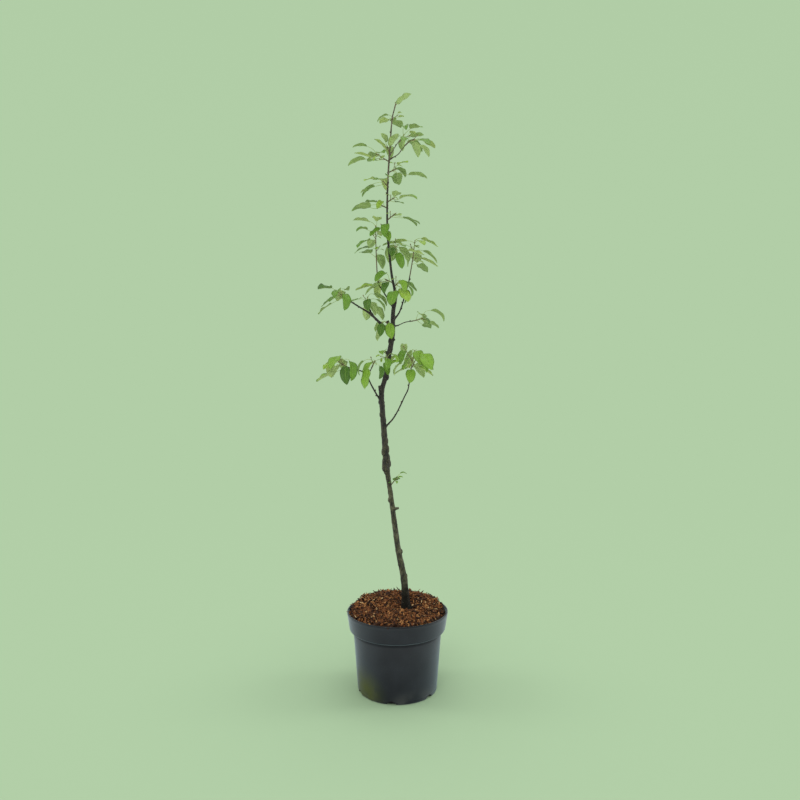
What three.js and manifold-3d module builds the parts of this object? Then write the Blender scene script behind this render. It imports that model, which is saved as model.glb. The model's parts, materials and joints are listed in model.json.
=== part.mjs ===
// A young pear tree in a round nursery pot, in millimetres, +Z up.
// The origin is the middle of the pot's flat underside, and the front of the tree is -Y.
// One stem leans and winds up from the soil to a leafy tip. Boughs leave it on both sides, and each
// mass of foliage is a stem with side twigs and stalked leaves that a seeded rule lays out.
import * as THREE from "three";
import { mergeVertices } from "three/addons/utils/BufferGeometryUtils.js";
import Module from "manifold-3d";

const wasm = await Module();
wasm.setup();

// Pot
const POT_HEIGHT = 143;
const RIM_RADIUS = 92.5;
const COLLAR_FOOT_RADIUS = 87.6;
const COLLAR_FOOT_HEIGHT = 108.5;
const WALL_TOP_RADIUS = 80.2;
const WALL_TOP_HEIGHT = 99.5;
const WALL_FOOT_RADIUS = 72.6;
const POT_WALL = 1.7;
const FLOOR_TOP = 4.2;
const FOOT_RING_INNER = 52;
const CENTRE_PAD_RADIUS = 24;
const FLOOR_RECESS = 2.4;
const BASE_CORNER = 4;
const LIP = 1.4;
const POT_SEGMENTS = 36;
const DRAIN_SLOTS = 6;
const DRAIN_SLOT_WIDTH = 17;
const DRAIN_SLOT_HEIGHT = 5.6;
const DRAIN_SLOT_DEPTH = 9;
const DRAIN_FIRST_TURN = -98;

// Soil, heaped a little over the rim and dished round the stem
const CLEARANCE = 0.3;
const SOIL_EDGE_HEIGHT = 138;
const SOIL_CROWN = 10.5;
const SOIL_CROWN_RADIUS = 58;
const SOIL_RINGS = [10, 20, 30, 40, 54, 68, 80];
const SOIL_SEGMENTS = 32;
const HOLLOW_FLAT_RADIUS = 20;
const HOLLOW_RADIUS = 40;

// Wood: rows of [x, y, height, diameter] along each centreline
const GROUND = 145;
const TRUNK = [
  [17, 0, GROUND - 4, 22],
  [15.6, 0, 156, 16.4],
  [14.2, 0.5, 176, 13.6],
  [11.5, 1, 205, 12],
  [2, 2, 250, 10.6],
  [-5.2, 3, 301, 9.8],
  [-11, 3, 346, 8.9],
  [-17.6, 2, 390, 9],
  [-20.4, 1, 412, 12.4],
  [-22.4, 0, 440, 11.2],
  [-25.6, -1, 485, 10.4],
  [-28.8, -2, 530, 9.4],
  [-28.5, -2, 550, 8.8],
  [-22, -1, 574, 8.8],
  [-16.4, 1, 610, 9.2],
  [-9.5, 3, 650, 9],
  [-7.8, 4, 695, 7.8],
  [-3.6, 4, 722, 7],
  [-5, 4, 736, 5.4],
  [-10.4, 3, 762, 4.7],
  [-14.6, 1, 800, 4.2],
  [-18.4, -1, 840, 3.9],
  [-18.8, -2, 895, 3.6],
  [-16.9, -1, 950, 3.4],
  [-13.6, 0, 1000, 3.1],
  [-10, 1, 1050, 2.6],
  [-4.4, 1, 1075, 2.3],
];
const TRUNK_SIDES = 9;
const BOUGH_SIDES = 6;

// Stubs of pruned shoots on the trunk, in rows as above
const STUBS = [
  [[-28.8, -2, 536, 9.2], [-31.4, -3, 558, 8.4]],
  [[-8.4, 3, 328, 6], [2.6, 1, 331, 4.4]],
  [[-15.4, 1, 616, 7.4], [-25.4, -1, 622, 3]],
  [[-6.6, 4, 704, 6.4], [-12.6, 2, 711, 4.6]],
  [[-11.4, 2, 642, 6], [-4.2, 0, 643, 3.4]],
  [[-9.6, 3, 654, 7.2], [-18.5, 5, 678, 6]],
];

// Boughs, each from the axis of the limb that it leaves
const BOUGHS = {
  lower_right_bough: {
    from: "trunk",
    rows: [
      [-25.3, -1, 478, 4.6],
      [-16, -5, 488, 3.8],
      [-8, -7, 497, 3.4],
      [1, -7, 512, 3.2],
      [13, -3, 537, 3],
      [20, 2, 552, 2.8],
      [22.8, 8, 571, 2.7],
    ],
  },
  lower_left_bough: {
    from: "trunk",
    rows: [
      [-28.8, -2, 530, 4.8],
      [-36, -5, 538, 3.9],
      [-43.5, -9, 551, 3.5],
      [-51, -13, 566, 3.2],
      [-57, -16, 580, 3],
      [-69.5, -20, 586, 2.8],
      [-84, -24, 590, 2.6],
    ],
  },
  lower_left_fork: {
    from: "lower_left_bough",
    rows: [
      [-55.4, -15.2, 576, 2.8],
      [-50, -21, 584, 2.4],
      [-46, -26, 592, 2.2],
    ],
  },
  middle_left_bough: {
    from: "trunk",
    rows: [
      [-8.9, 3.2, 657, 7],
      [-17, -2, 664, 6.4],
      [-27, -7, 669, 6],
      [-45.5, -13, 686, 5],
      [-56, -16, 694, 4.2],
      [-68, -19, 701, 3.6],
      [-88, -24, 713, 2.9],
    ],
  },
  middle_left_fork: {
    from: "middle_left_bough",
    rows: [
      [-45.5, -13, 686, 4.2],
      [-50, -6, 695, 3.8],
      [-54, 1, 704, 3.4],
    ],
  },
  middle_right_bough: {
    from: "trunk",
    rows: [
      [-8.8, 3.4, 668, 3.4],
      [-2, 8, 669, 2.8],
      [4.8, 12, 671.5, 2.4],
      [14, 17, 676, 2.2],
      [27, 22, 678.5, 2.1],
    ],
  },
  right_upright_bough: {
    from: "trunk",
    rows: [
      [-8.3, 3.8, 680, 4.4],
      [-1, 8, 687, 3.8],
      [4.8, 12, 697, 3.4],
      [10.4, 16, 714, 3.2],
      [15, 19, 731, 3],
      [20.6, 21, 749, 2.8],
      [23.4, 22, 764, 2.7],
    ],
  },
  left_upright_bough: {
    from: "trunk",
    rows: [
      [-6.2, 4, 706, 4],
      [-14, 9, 715, 3.4],
      [-24, 13, 729, 3],
      [-32.5, 16, 743, 2.8],
      [-37.4, 17.5, 757, 2.7],
      [-38.2, 18, 770, 2.6],
    ],
  },
  upper_right_bough: {
    from: "trunk",
    rows: [
      [-15.2, -0.4, 976, 2.8],
      [-7, -6, 979, 2.4],
      [2, -12, 983, 2.2],
      [9, -16, 991, 2.1],
      [16, -20, 998, 2],
    ],
  },
  top_right_bough: {
    from: "trunk",
    rows: [
      [-14.8, -0.3, 984, 2.8],
      [-10.5, 5, 991, 2.4],
      [-6, 9, 1000, 2.2],
      [-1, 13, 1009, 2.1],
      [4, 16, 1016, 2],
    ],
  },
};

// Foliage masses. on: the limb; height: where a mass leaves the trunk, else it grows on from the bough's tip.
// turn: heading, 0 to the right and 90 to the back; rise: how steeply the stem ends; length: of the stem.
// leaves and twigs: how many; blade: leaf length; pitch: how the blades point up or hang down.
// stalk: how long leaf stalks are as a share of the blade, where it isn't the usual; seed: starts the rule.
const MASSES = [
  {
    name: "foliage_tip", on: "trunk", turn: 35, rise: 50, length: 4,
    leaves: 1, twigs: 0, blade: 38, pitch: 56, stalk: 0.06, seed: 6990,
  },
  {
    name: "foliage_leader", on: "trunk", height: 1052, turn: 90, rise: 38, length: 8,
    leaves: 6, twigs: 0, blade: 33, pitch: 0, stalk: 0.5, seed: 1136,
  },
  {
    name: "foliage_top_right", on: "top_right_bough", turn: 50, rise: 50, length: 18,
    leaves: 7, twigs: 0, blade: 35, pitch: 12, seed: 1735,
  },
  {
    name: "foliage_upper_right", on: "upper_right_bough", turn: 20, rise: 12, length: 18,
    leaves: 7, twigs: 0, blade: 36, pitch: 6, seed: 9963,
  },
  {
    name: "foliage_upper_front", on: "trunk", height: 986, turn: 245, rise: 50, length: 15,
    leaves: 6, twigs: 0, blade: 36, pitch: 32, stalk: 0.5, seed: 3435,
  },
  {
    name: "foliage_upper_left", on: "trunk", height: 972, turn: 195, rise: 28, length: 26,
    leaves: 7, twigs: 0, blade: 36, pitch: 10, seed: 2113,
  },
  {
    name: "foliage_right_high", on: "trunk", height: 952, turn: 5, rise: 24, length: 15,
    leaves: 7, twigs: 0, blade: 36, pitch: 4, seed: 2194,
  },
  {
    name: "foliage_left_high", on: "trunk", height: 926, turn: 215, rise: 38, length: 14,
    leaves: 7, twigs: 0, blade: 35, pitch: 0, seed: 236,
  },
  {
    name: "foliage_right_middle", on: "trunk", height: 897, turn: -5, rise: 30, length: 14,
    leaves: 5, twigs: 0, blade: 34, pitch: 10, seed: 8179,
  },
  {
    name: "foliage_left_middle", on: "trunk", height: 886, turn: 185, rise: 24, length: 16,
    leaves: 5, twigs: 0, blade: 33, pitch: 8, seed: 7700,
  },
  {
    name: "foliage_right_low", on: "trunk", height: 864, turn: -15, rise: 36, length: 19,
    leaves: 6, twigs: 0, blade: 33, pitch: 4, seed: 140,
  },
  {
    name: "foliage_leader_front", on: "trunk", height: 841, turn: 260, rise: 22, length: 14,
    leaves: 5, twigs: 0, blade: 36, pitch: -18, stalk: 0.5, seed: 1804,
  },
  {
    name: "foliage_spur_front", on: "trunk", height: 806, turn: -15, rise: 32, length: 17,
    leaves: 9, twigs: 0, blade: 35, pitch: -20, seed: 4312,
  },
  {
    name: "foliage_right_upright", on: "right_upright_bough", turn: 10, rise: 84, length: 66,
    leaves: 12, twigs: 0, blade: 35, pitch: -6, seed: 1372,
  },
  {
    name: "foliage_left_upright", on: "left_upright_bough", turn: 175, rise: 90, length: 86,
    leaves: 12, twigs: 0, blade: 34, pitch: 2, seed: 5476,
  },
  {
    name: "foliage_centre_left", on: "trunk", height: 748, turn: 190, rise: 24, length: 16,
    leaves: 9, twigs: 0, blade: 34, pitch: -12, seed: 2076,
  },
  {
    name: "foliage_centre_right", on: "trunk", height: 742, turn: -60, rise: 16, length: 15,
    leaves: 8, twigs: 0, blade: 36, pitch: -24, seed: 6256,
  },
  {
    name: "foliage_middle_left", on: "middle_left_bough", turn: 170, rise: 42, length: 24,
    leaves: 9, twigs: 1, blade: 37, pitch: -10, seed: 841,
  },
  {
    name: "foliage_middle_fork", on: "middle_left_fork", turn: 75, rise: 60, length: 17,
    leaves: 7, twigs: 1, blade: 33, pitch: -18, seed: 1858,
  },
  {
    name: "foliage_middle_right", on: "middle_right_bough", turn: 25, rise: 22, length: 25,
    leaves: 8, twigs: 0, blade: 33, pitch: -14, seed: 2964,
  },
  {
    name: "foliage_waist", on: "trunk", height: 668, turn: 210, rise: 24, length: 17,
    leaves: 5, twigs: 0, blade: 33, pitch: -48, seed: 5605,
  },
  {
    name: "foliage_low_front", on: "trunk", height: 608, turn: 255, rise: 12, length: 18,
    leaves: 8, twigs: 0, blade: 32, pitch: -16, seed: 9194,
  },
  {
    name: "foliage_lower_left", on: "lower_left_bough", turn: 175, rise: 42, length: 28,
    leaves: 15, twigs: 1, blade: 38, pitch: -34, seed: 5937,
  },
  {
    name: "foliage_lower_fork", on: "lower_left_fork", turn: -60, rise: 46, length: 14,
    leaves: 7, twigs: 0, blade: 36, pitch: -45, seed: 8888,
  },
  {
    name: "foliage_lower_right", on: "lower_right_bough", turn: 15, rise: 78, length: 52,
    leaves: 15, twigs: 2, blade: 38, pitch: -34, seed: 1368,
  },
  {
    name: "foliage_low_shoot", on: "trunk", height: 370, turn: -25, rise: 50, length: 26,
    leaves: 7, twigs: 0, blade: 13, pitch: 26, stalk: 0.5, seed: 7129,
  },
];
const TWIG_LEAVES = 3;
const STEM_DIAMETER = 2.2;
const SPUR_DIAMETER = 2.6;
const TWIG_TAPER = 0.65;
const STEM_STEPS = 4;
const TWIG_STEPS = 2;
const TWIG_SIDES = 3;
const TWIG_LENGTH_SHARE = 0.6;
const TWIG_SPREAD = 48;
const TWIG_LIFT = 0.35;
const LEAF_TURN = 137.5;
const STALK_SPREAD = 58;
const STALK_DIAMETER = 1.3;
const STALK_SHARE = 0.7;
const LEAF_THICKNESS = 0.6;
const LEAF_STATIONS = [0.15, 0.47, 0.8];
const BARE_SHARE = 0.25;
const SPUR_LENGTH = 20;

// How leaves differ: how far the blade arches and folds, in degrees, and its width as a share of its length
const LEAF_FORMS = [
  { arch: 36, fold: 18, width: 0.56 },
  { arch: 58, fold: 24, width: 0.5 },
  { arch: 20, fold: 12, width: 0.6 },
  { arch: 72, fold: 28, width: 0.5 },
  { arch: 46, fold: 10, width: 0.62 },
  { arch: 14, fold: 26, width: 0.54 },
];

// How far apart things stay, between points that are sampled on them
const REACH = 78;
const LEAF_TO_LIMB = 3.2;
const TWIG_TO_LIMB = 2;
const LEAF_TO_STRANGER = 9;
const LEAF_TO_SIBLING = 5;
const TWIG_TO_STRANGER = 5;
const SAMPLE_STATIONS = [0.14, 0.38, 0.62, 0.86];

const UP = new THREE.Vector3(0, 0, 1);
const radians = THREE.MathUtils.degToRad;

// Numbers from 0 to 1 that a seed decides.
function seededRandom(seed) {
  let state = Math.imul(seed, 2654435761) >>> 0;
  const next = () => {
    state = (Math.imul(state, 1664525) + 1013904223) >>> 0;
    return state / 4294967296;
  };
  for (let i = 0; i < 4; i++) next();
  return next;
}

const between = (random, low, high) => low + (high - low) * random();

function heading(turn, rise) {
  const level = Math.cos(radians(rise));
  const x = level * Math.cos(radians(turn));
  const y = level * Math.sin(radians(turn));
  return new THREE.Vector3(x, y, Math.sin(radians(rise)));
}

function smooth(low, high, value) {
  const t = Math.min(1, Math.max(0, (value - low) / (high - low)));
  return t * t * (3 - 2 * t);
}

// A limb's centres and radii, ring by ring.
function limbFromRows(name, rows) {
  const centres = rows.map(([x, y, z]) => new THREE.Vector3(x, y, z));
  return { name, centres, radii: rows.map((row) => row[3] / 2) };
}

// Sideways directions along a line, carried from point to point without twisting.
function carriedSides(points) {
  const sides = [];
  let side = new THREE.Vector3(0, 1, 0);
  points.forEach((_, i) => {
    const before = points[Math.max(0, i - 1)];
    const after = points[Math.min(points.length - 1, i + 1)];
    const along = after.clone().sub(before).normalize();
    if (i === 0 && Math.abs(along.y) > 0.9) side = new THREE.Vector3(1, 0, 0);
    side = side.clone().addScaledVector(along, -side.dot(along)).normalize();
    sides.push({ along, side, across: side.clone().cross(along) });
  });
  return sides;
}

// A closed tapering tube: a capped cylinder bent along the points.
function tube(points, radii, sideCount) {
  const steps = points.length - 1;
  const geometry = new THREE.CylinderGeometry(1, 1, steps, sideCount, steps);
  const frames = carriedSides(points);
  const position = geometry.attributes.position;
  for (let i = 0; i < position.count; i++) {
    const ring = Math.round(position.getY(i) + steps / 2);
    const { side, across } = frames[ring];
    const place = points[ring]
      .clone()
      .addScaledVector(side, position.getX(i) * radii[ring])
      .addScaledVector(across, position.getZ(i) * radii[ring]);
    position.setXYZ(i, place.x, place.y, place.z);
  }
  return geometry;
}

// Solids: closed geometries are joined and cut, and handed back as a geometry
function solidOf(geometry) {
  const bare = new THREE.BufferGeometry()
    .setAttribute("position", geometry.attributes.position)
    .setIndex(geometry.index);
  const merged = mergeVertices(bare, 1e-4);
  return new wasm.Manifold(
    new wasm.Mesh({
      numProp: 3,
      vertProperties: merged.attributes.position.array,
      triVerts: new Uint32Array(merged.index.array),
    }),
  );
}

const joined = (solids) => solids.reduce((whole, solid) => whole.add(solid));

// The largest body of a solid, without the scraps and sealed hollows that joining can leave.
function largestBody(solid) {
  const bodies = solid.decompose();
  return bodies.reduce((best, body) => (body.volume() > best.volume() ? body : best));
}

function geometryOf(solid) {
  const mesh = solid.getMesh();
  return new THREE.BufferGeometry()
    .setAttribute("position", new THREE.BufferAttribute(mesh.vertProperties, 3))
    .setIndex(new THREE.BufferAttribute(mesh.triVerts, 1));
}

// A limb's solid, grown by a margin all round where something is cut clear of it.
function limbSolid(limb, sideCount, margin = 0) {
  const { centres } = limb;
  const points = centres.map((point) => point.clone());
  if (margin > 0) {
    const last = centres.length - 1;
    const tip = centres[last].clone().sub(centres[last - 1]).normalize();
    points[last].addScaledVector(tip, margin);
  }
  const radii = limb.radii.map((radius) => radius + margin);
  return solidOf(tube(points, radii, sideCount));
}

// Pot: a moulded shell with a deep collar, a foot ring and drain slots round its base corner
function wallRadius(height) {
  return WALL_FOOT_RADIUS + ((WALL_TOP_RADIUS - WALL_FOOT_RADIUS) * height) / WALL_TOP_HEIGHT;
}

function lathe(profile, segments) {
  const points = profile.map(([radius, height]) => new THREE.Vector2(radius, height));
  return new THREE.LatheGeometry(points, segments).rotateX(Math.PI / 2);
}

function potSolid() {
  const shell = lathe(
    [
      [0, 0],
      [CENTRE_PAD_RADIUS, 0],
      [CENTRE_PAD_RADIUS + FLOOR_RECESS, FLOOR_RECESS],
      [FOOT_RING_INNER - FLOOR_RECESS, FLOOR_RECESS],
      [FOOT_RING_INNER, 0],
      [WALL_FOOT_RADIUS - BASE_CORNER, 0],
      [wallRadius(BASE_CORNER) - 0.8, BASE_CORNER * 0.4],
      [wallRadius(BASE_CORNER), BASE_CORNER],
      [WALL_TOP_RADIUS, WALL_TOP_HEIGHT],
      [COLLAR_FOOT_RADIUS, COLLAR_FOOT_HEIGHT],
      [RIM_RADIUS, POT_HEIGHT - LIP],
      [RIM_RADIUS - LIP / 2, POT_HEIGHT],
      [RIM_RADIUS - POT_WALL - LIP / 2, POT_HEIGHT],
      [RIM_RADIUS - POT_WALL - LIP / 2, POT_HEIGHT - LIP],
      [COLLAR_FOOT_RADIUS - POT_WALL, COLLAR_FOOT_HEIGHT],
      [WALL_TOP_RADIUS - POT_WALL, WALL_TOP_HEIGHT],
      [wallRadius(FLOOR_TOP) - POT_WALL, FLOOR_TOP],
      [0, FLOOR_TOP],
    ],
    POT_SEGMENTS,
  );
  let pot = solidOf(shell);
  for (let i = 0; i < DRAIN_SLOTS; i++) {
    const slot = new THREE.CylinderGeometry(
      DRAIN_SLOT_HEIGHT,
      DRAIN_SLOT_HEIGHT,
      DRAIN_SLOT_DEPTH * 2,
      8,
    );
    slot.rotateZ(Math.PI / 2).scale(1, DRAIN_SLOT_WIDTH / 2 / DRAIN_SLOT_HEIGHT, 1);
    slot.translate(WALL_FOOT_RADIUS, 0, 0);
    slot.rotateZ(radians(DRAIN_FIRST_TURN + (360 / DRAIN_SLOTS) * i));
    pot = pot.subtract(solidOf(slot));
  }
  return pot;
}

// Soil
function soilHeight(x, y) {
  const heaped = 1 - smooth(SOIL_CROWN_RADIUS, RIM_RADIUS, Math.hypot(x, y));
  const level = SOIL_EDGE_HEIGHT + SOIL_CROWN * heaped;
  const floor = GROUND - CLEARANCE;
  const fromStem = Math.hypot(x - TRUNK[0][0], y - TRUNK[0][1]);
  const out = smooth(HOLLOW_FLAT_RADIUS, HOLLOW_RADIUS, fromStem);
  return floor * (1 - out) + level * out;
}

function soilSolid() {
  const inset = POT_WALL + CLEARANCE + 0.1;
  const base = FLOOR_TOP + CLEARANCE;
  const share = (SOIL_EDGE_HEIGHT - COLLAR_FOOT_HEIGHT) / (POT_HEIGHT - LIP - COLLAR_FOOT_HEIGHT);
  const innerRim = RIM_RADIUS - LIP / 2;
  const edge = COLLAR_FOOT_RADIUS * (1 - share) + innerRim * share - inset;
  const top = [edge, ...[...SOIL_RINGS].reverse(), 0];
  const geometry = lathe(
    [
      [0, base],
      [wallRadius(base) - inset, base],
      [WALL_TOP_RADIUS - inset, WALL_TOP_HEIGHT],
      [COLLAR_FOOT_RADIUS - inset, COLLAR_FOOT_HEIGHT + CLEARANCE],
      ...top.map((radius) => [radius, SOIL_EDGE_HEIGHT]),
    ],
    SOIL_SEGMENTS,
  );
  const position = geometry.attributes.position;
  for (let i = 0; i < position.count; i++) {
    if (position.getZ(i) < SOIL_EDGE_HEIGHT - 1e-3) continue;
    position.setZ(i, soilHeight(position.getX(i), position.getY(i)));
  }
  return solidOf(geometry);
}

// Leaves: a pointed oval blade that folds up along its midrib and arches down towards its tip
function bladeOutline(u) {
  return Math.pow(Math.sin(Math.PI * Math.pow(u, 0.8)), 0.72);
}

// A point on a blade: u runs from its stalk to its tip, v from edge to edge, lift along its normal.
function bladePoint(leaf, u, v, lift = 0) {
  const { form, length } = leaf;
  const arch = radians(form.arch);
  const bend = arch * u;
  const forward = (length * Math.sin(bend)) / arch;
  const drop = (length * (1 - Math.cos(bend))) / arch;
  const half = (form.width * length * bladeOutline(u)) / 2;
  const up = half * Math.abs(v) * Math.sin(radians(form.fold)) + lift;
  return leaf.base
    .clone()
    .addScaledVector(leaf.forward, forward + up * Math.sin(bend))
    .addScaledVector(leaf.normal, up * Math.cos(bend) - drop)
    .addScaledVector(leaf.side, half * v * Math.cos(radians(form.fold)));
}

// A leaf is one four-sided skin: narrow sections up its stalk, then wide flat ones along its blade.
// The corners of a section are left, top, right and under.
function stalkSection(leaf, centre, along) {
  const side = leaf.side.clone().addScaledVector(along, -leaf.side.dot(along)).normalize();
  const up = along.clone().cross(side);
  const corner = (axis, reach) => centre.clone().addScaledVector(axis, reach);
  const half = STALK_DIAMETER / 2;
  return [corner(side, half), corner(up, half), corner(side, -half), corner(up, -half)];
}

function bladeSection(leaf, u) {
  const half = LEAF_THICKNESS / 2;
  const middle = [half, -half].map((lift) => bladePoint(leaf, u, 0, lift));
  return [bladePoint(leaf, u, 1), middle[0], bladePoint(leaf, u, -1), middle[1]];
}

function leafGeometry(leaf) {
  const out = leaf.knee.clone().sub(leaf.node).normalize();
  const sections = [
    stalkSection(leaf, leaf.node, out),
    stalkSection(leaf, leaf.knee, out.clone().add(leaf.forward).normalize()),
    stalkSection(leaf, leaf.base, leaf.forward),
    ...LEAF_STATIONS.map((u) => bladeSection(leaf, u)),
  ];
  const points = [...sections.flat(), bladePoint(leaf, 1, 0)];
  const faces = [0, 3, 2, 0, 2, 1];
  sections.forEach((section, i) => {
    for (let j = 0; j < 4; j++) {
      const a = i * 4 + j;
      const b = i * 4 + ((j + 1) % 4);
      if (i < sections.length - 1) faces.push(a, b, b + 4, a, b + 4, a + 4);
      else faces.push(a, b, points.length - 1);
    }
  });
  const numbers = points.flatMap((point) => point.toArray());
  return new THREE.BufferGeometry()
    .setAttribute("position", new THREE.Float32BufferAttribute(numbers, 3))
    .setIndex(faces);
}

// Points spread over a blade, and along its stalk, that stand for the leaf where distances are tested.
const bladeSamples = (leaf) => [
  ...SAMPLE_STATIONS.flatMap((u) => [-0.85, 0, 0.85].map((v) => bladePoint(leaf, u, v))),
  bladePoint(leaf, 1, 0),
];

const stalkSamples = (leaf) => [
  leaf.node.clone().lerp(leaf.knee, 0.5),
  leaf.knee,
  leaf.knee.clone().lerp(leaf.base, 0.5),
  leaf.base,
];

// Distances
function distanceToLimb(point, limb) {
  let nearest = Infinity;
  for (let i = 0; i < limb.centres.length - 1; i++) {
    const from = limb.centres[i];
    const along = limb.centres[i + 1].clone().sub(from);
    const share = point.clone().sub(from).dot(along) / along.lengthSq();
    const t = Math.min(1, Math.max(0, share));
    const gap = point.distanceTo(from.clone().addScaledVector(along, t));
    nearest = Math.min(nearest, gap - limb.radii[i]);
  }
  return nearest;
}

const clearOfLimbs = (points, limbs, gap) =>
  points.every((point) => limbs.every((limb) => distanceToLimb(point, limb) > gap));

const apart = (points, others, gap) =>
  points.every((point) => others.every((other) => point.distanceTo(other) > gap));

// Shoots: a stem or twig is a curve that starts along one direction and ends along another.
function shootPoints(start, first, last, length, steps) {
  const knee = start.clone().addScaledVector(first, length / 2);
  const end = knee.clone().addScaledVector(last, length / 2);
  const curve = new THREE.QuadraticBezierCurve3(start, knee, end);
  return Array.from({ length: steps + 1 }, (_, i) => curve.getPoint(i / steps));
}

function shootRadii(diameter, steps) {
  const taper = (i) => 1 - (1 - TWIG_TAPER) * (i / steps);
  return Array.from({ length: steps + 1 }, (_, i) => (diameter / 2) * taper(i));
}

// The point at a share of the way along a line of points, with the frame there.
function alongLine(points, share) {
  const place = share * (points.length - 1);
  const i = Math.min(points.length - 2, Math.floor(place));
  const point = points[i].clone().lerp(points[i + 1], place - i);
  return { point, ...carriedSides(points)[i] };
}

function aroundShoot(at, turn, spread) {
  const out = at.side
    .clone()
    .multiplyScalar(Math.cos(radians(turn)))
    .addScaledVector(at.across, Math.sin(radians(turn)));
  return at.along
    .clone()
    .multiplyScalar(Math.cos(radians(spread)))
    .addScaledVector(out, Math.sin(radians(spread)));
}

// A leaf on a shoot: its stalk leaves the shoot at an angle, then turns to carry the blade level or hanging.
function leafOnShoot(plan, shoot, share, turn, random) {
  const at = alongLine(shoot, share);
  const out = aroundShoot(at, turn, share > 0.99 ? STALK_SPREAD / 2 : STALK_SPREAD);
  const length = plan.blade * between(random, 0.76, 1.12);
  const stalk = length * (plan.stalk ?? STALK_SHARE) * between(random, 0.55, 1.3);
  const pitch = plan.pitch + between(random, -22, 22);
  const roll = radians(between(random, -24, 24));
  const yaw = Math.atan2(out.y, out.x) + radians(between(random, -28, 28));
  const form = LEAF_FORMS[Math.floor(random() * LEAF_FORMS.length)];
  const forward = heading(THREE.MathUtils.radToDeg(yaw), pitch);
  const level = UP.clone().cross(forward).normalize();
  const upright = forward.clone().cross(level);
  const side = level
    .clone()
    .multiplyScalar(Math.cos(roll))
    .addScaledVector(upright, Math.sin(roll));
  const normal = forward.clone().cross(side);
  const knee = at.point.clone().addScaledVector(out, stalk * 0.55);
  const base = knee.clone().addScaledVector(forward, stalk * 0.45);
  return { node: at.point, knee, base, forward, side, normal, length, form };
}

// One mass: its stem is laid first, for every mass, then its twigs and leaves fill the room that is left.
function layStem(plan, limbs) {
  const limb = limbs.find(({ name }) => name === plan.on);
  const last = limb.centres.length - 1;
  const tip = limb.centres[last];
  const along = tip.clone().sub(limb.centres[last - 1]).normalize();
  const goal = heading(plan.turn, plan.rise);
  let start = tip.clone().addScaledVector(along, CLEARANCE);
  let first = along;
  if (plan.height) {
    const above = limb.centres.findIndex((point) => point.z > plan.height);
    const [low, high] = [limb.centres[above - 1], limb.centres[above]];
    start = low.clone().lerp(high, (plan.height - low.z) / (high.z - low.z));
    first = goal;
  }
  const diameter = plan.length < SPUR_LENGTH ? SPUR_DIAMETER : STEM_DIAMETER;
  const stem = shootPoints(start, first, goal, plan.length, STEM_STEPS);
  return { plan, limb, stem, diameter, twigs: [], leaves: [], points: [...stem] };
}

function growTwig(mass, share, turn, random) {
  const at = alongLine(mass.stem, share);
  const out = aroundShoot(at, turn, TWIG_SPREAD);
  const length = mass.plan.length * TWIG_LENGTH_SHARE * between(random, 0.7, 1.2);
  const end = out.clone().addScaledVector(UP, TWIG_LIFT).normalize();
  return shootPoints(at.point, out, end, length, TWIG_STEPS);
}

function leafFits(leaf, mass, limbs, strangers) {
  const blade = bladeSamples(leaf);
  const stalk = stalkSamples(leaf);
  const middle = alongLine(mass.stem, 0.5).point;
  const [strangeLeaves, strangeTwigs] = strangers;
  return (
    blade.every((point) => point.distanceTo(middle) < REACH) &&
    clearOfLimbs(blade, limbs, LEAF_TO_LIMB) &&
    clearOfLimbs(stalk.slice(1), limbs, TWIG_TO_LIMB) &&
    apart(blade, strangeLeaves, LEAF_TO_STRANGER) &&
    apart(blade, strangeTwigs, TWIG_TO_STRANGER) &&
    apart(stalk, strangeLeaves, TWIG_TO_STRANGER) &&
    apart(stalk, strangeTwigs, TWIG_TO_STRANGER) &&
    mass.leaves.every((other) => apart(blade, bladeSamples(other), LEAF_TO_SIBLING))
  );
}

function fillMass(mass, masses, limbs) {
  const { plan } = mass;
  const random = seededRandom(plan.seed);
  const others = masses.filter((other) => other !== mass);
  const strangers = [
    others.flatMap((other) => other.leaves.flatMap(bladeSamples)),
    others.flatMap((other) => other.points),
  ];
  const shoots = [{ line: mass.stem, leaves: plan.leaves }];
  for (let i = 0; i < plan.twigs; i++) {
    const share = (i + 1) / (plan.twigs + 1);
    const twig = growTwig(mass, share, 90 + LEAF_TURN * (i + 0.5), random);
    const free = twig.slice(1);
    if (!clearOfLimbs(free, limbs, TWIG_TO_LIMB)) continue;
    if (!apart(free, strangers[0], TWIG_TO_STRANGER)) continue;
    if (!apart(free, strangers[1], TWIG_TO_STRANGER)) continue;
    mass.twigs.push(twig);
    mass.points.push(...free);
    shoots.push({ line: twig, leaves: TWIG_LEAVES });
  }
  for (const { line, leaves } of shoots) {
    const turned = between(random, 0, 360);
    for (let i = 0; i < leaves; i++) {
      const share = BARE_SHARE + ((1 - BARE_SHARE) * (i + 1)) / leaves;
      const leaf = leafOnShoot(plan, line, share, turned + LEAF_TURN * i, random);
      if (!leafFits(leaf, mass, limbs, strangers)) continue;
      mass.leaves.push(leaf);
      mass.points.push(...stalkSamples(leaf));
    }
  }
}

function massSolid(mass, limbCutters) {
  const thick = mass.diameter;
  const pieces = [solidOf(tube(mass.stem, shootRadii(thick, STEM_STEPS), TWIG_SIDES))];
  for (const twig of mass.twigs) {
    pieces.push(solidOf(tube(twig, shootRadii(thick * TWIG_TAPER, TWIG_STEPS), TWIG_SIDES)));
  }
  for (const leaf of mass.leaves) pieces.push(solidOf(leafGeometry(leaf)));
  const cut = limbCutters.reduce((solid, cutter) => solid.subtract(cutter), joined(pieces));
  return largestBody(cut);
}

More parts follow.
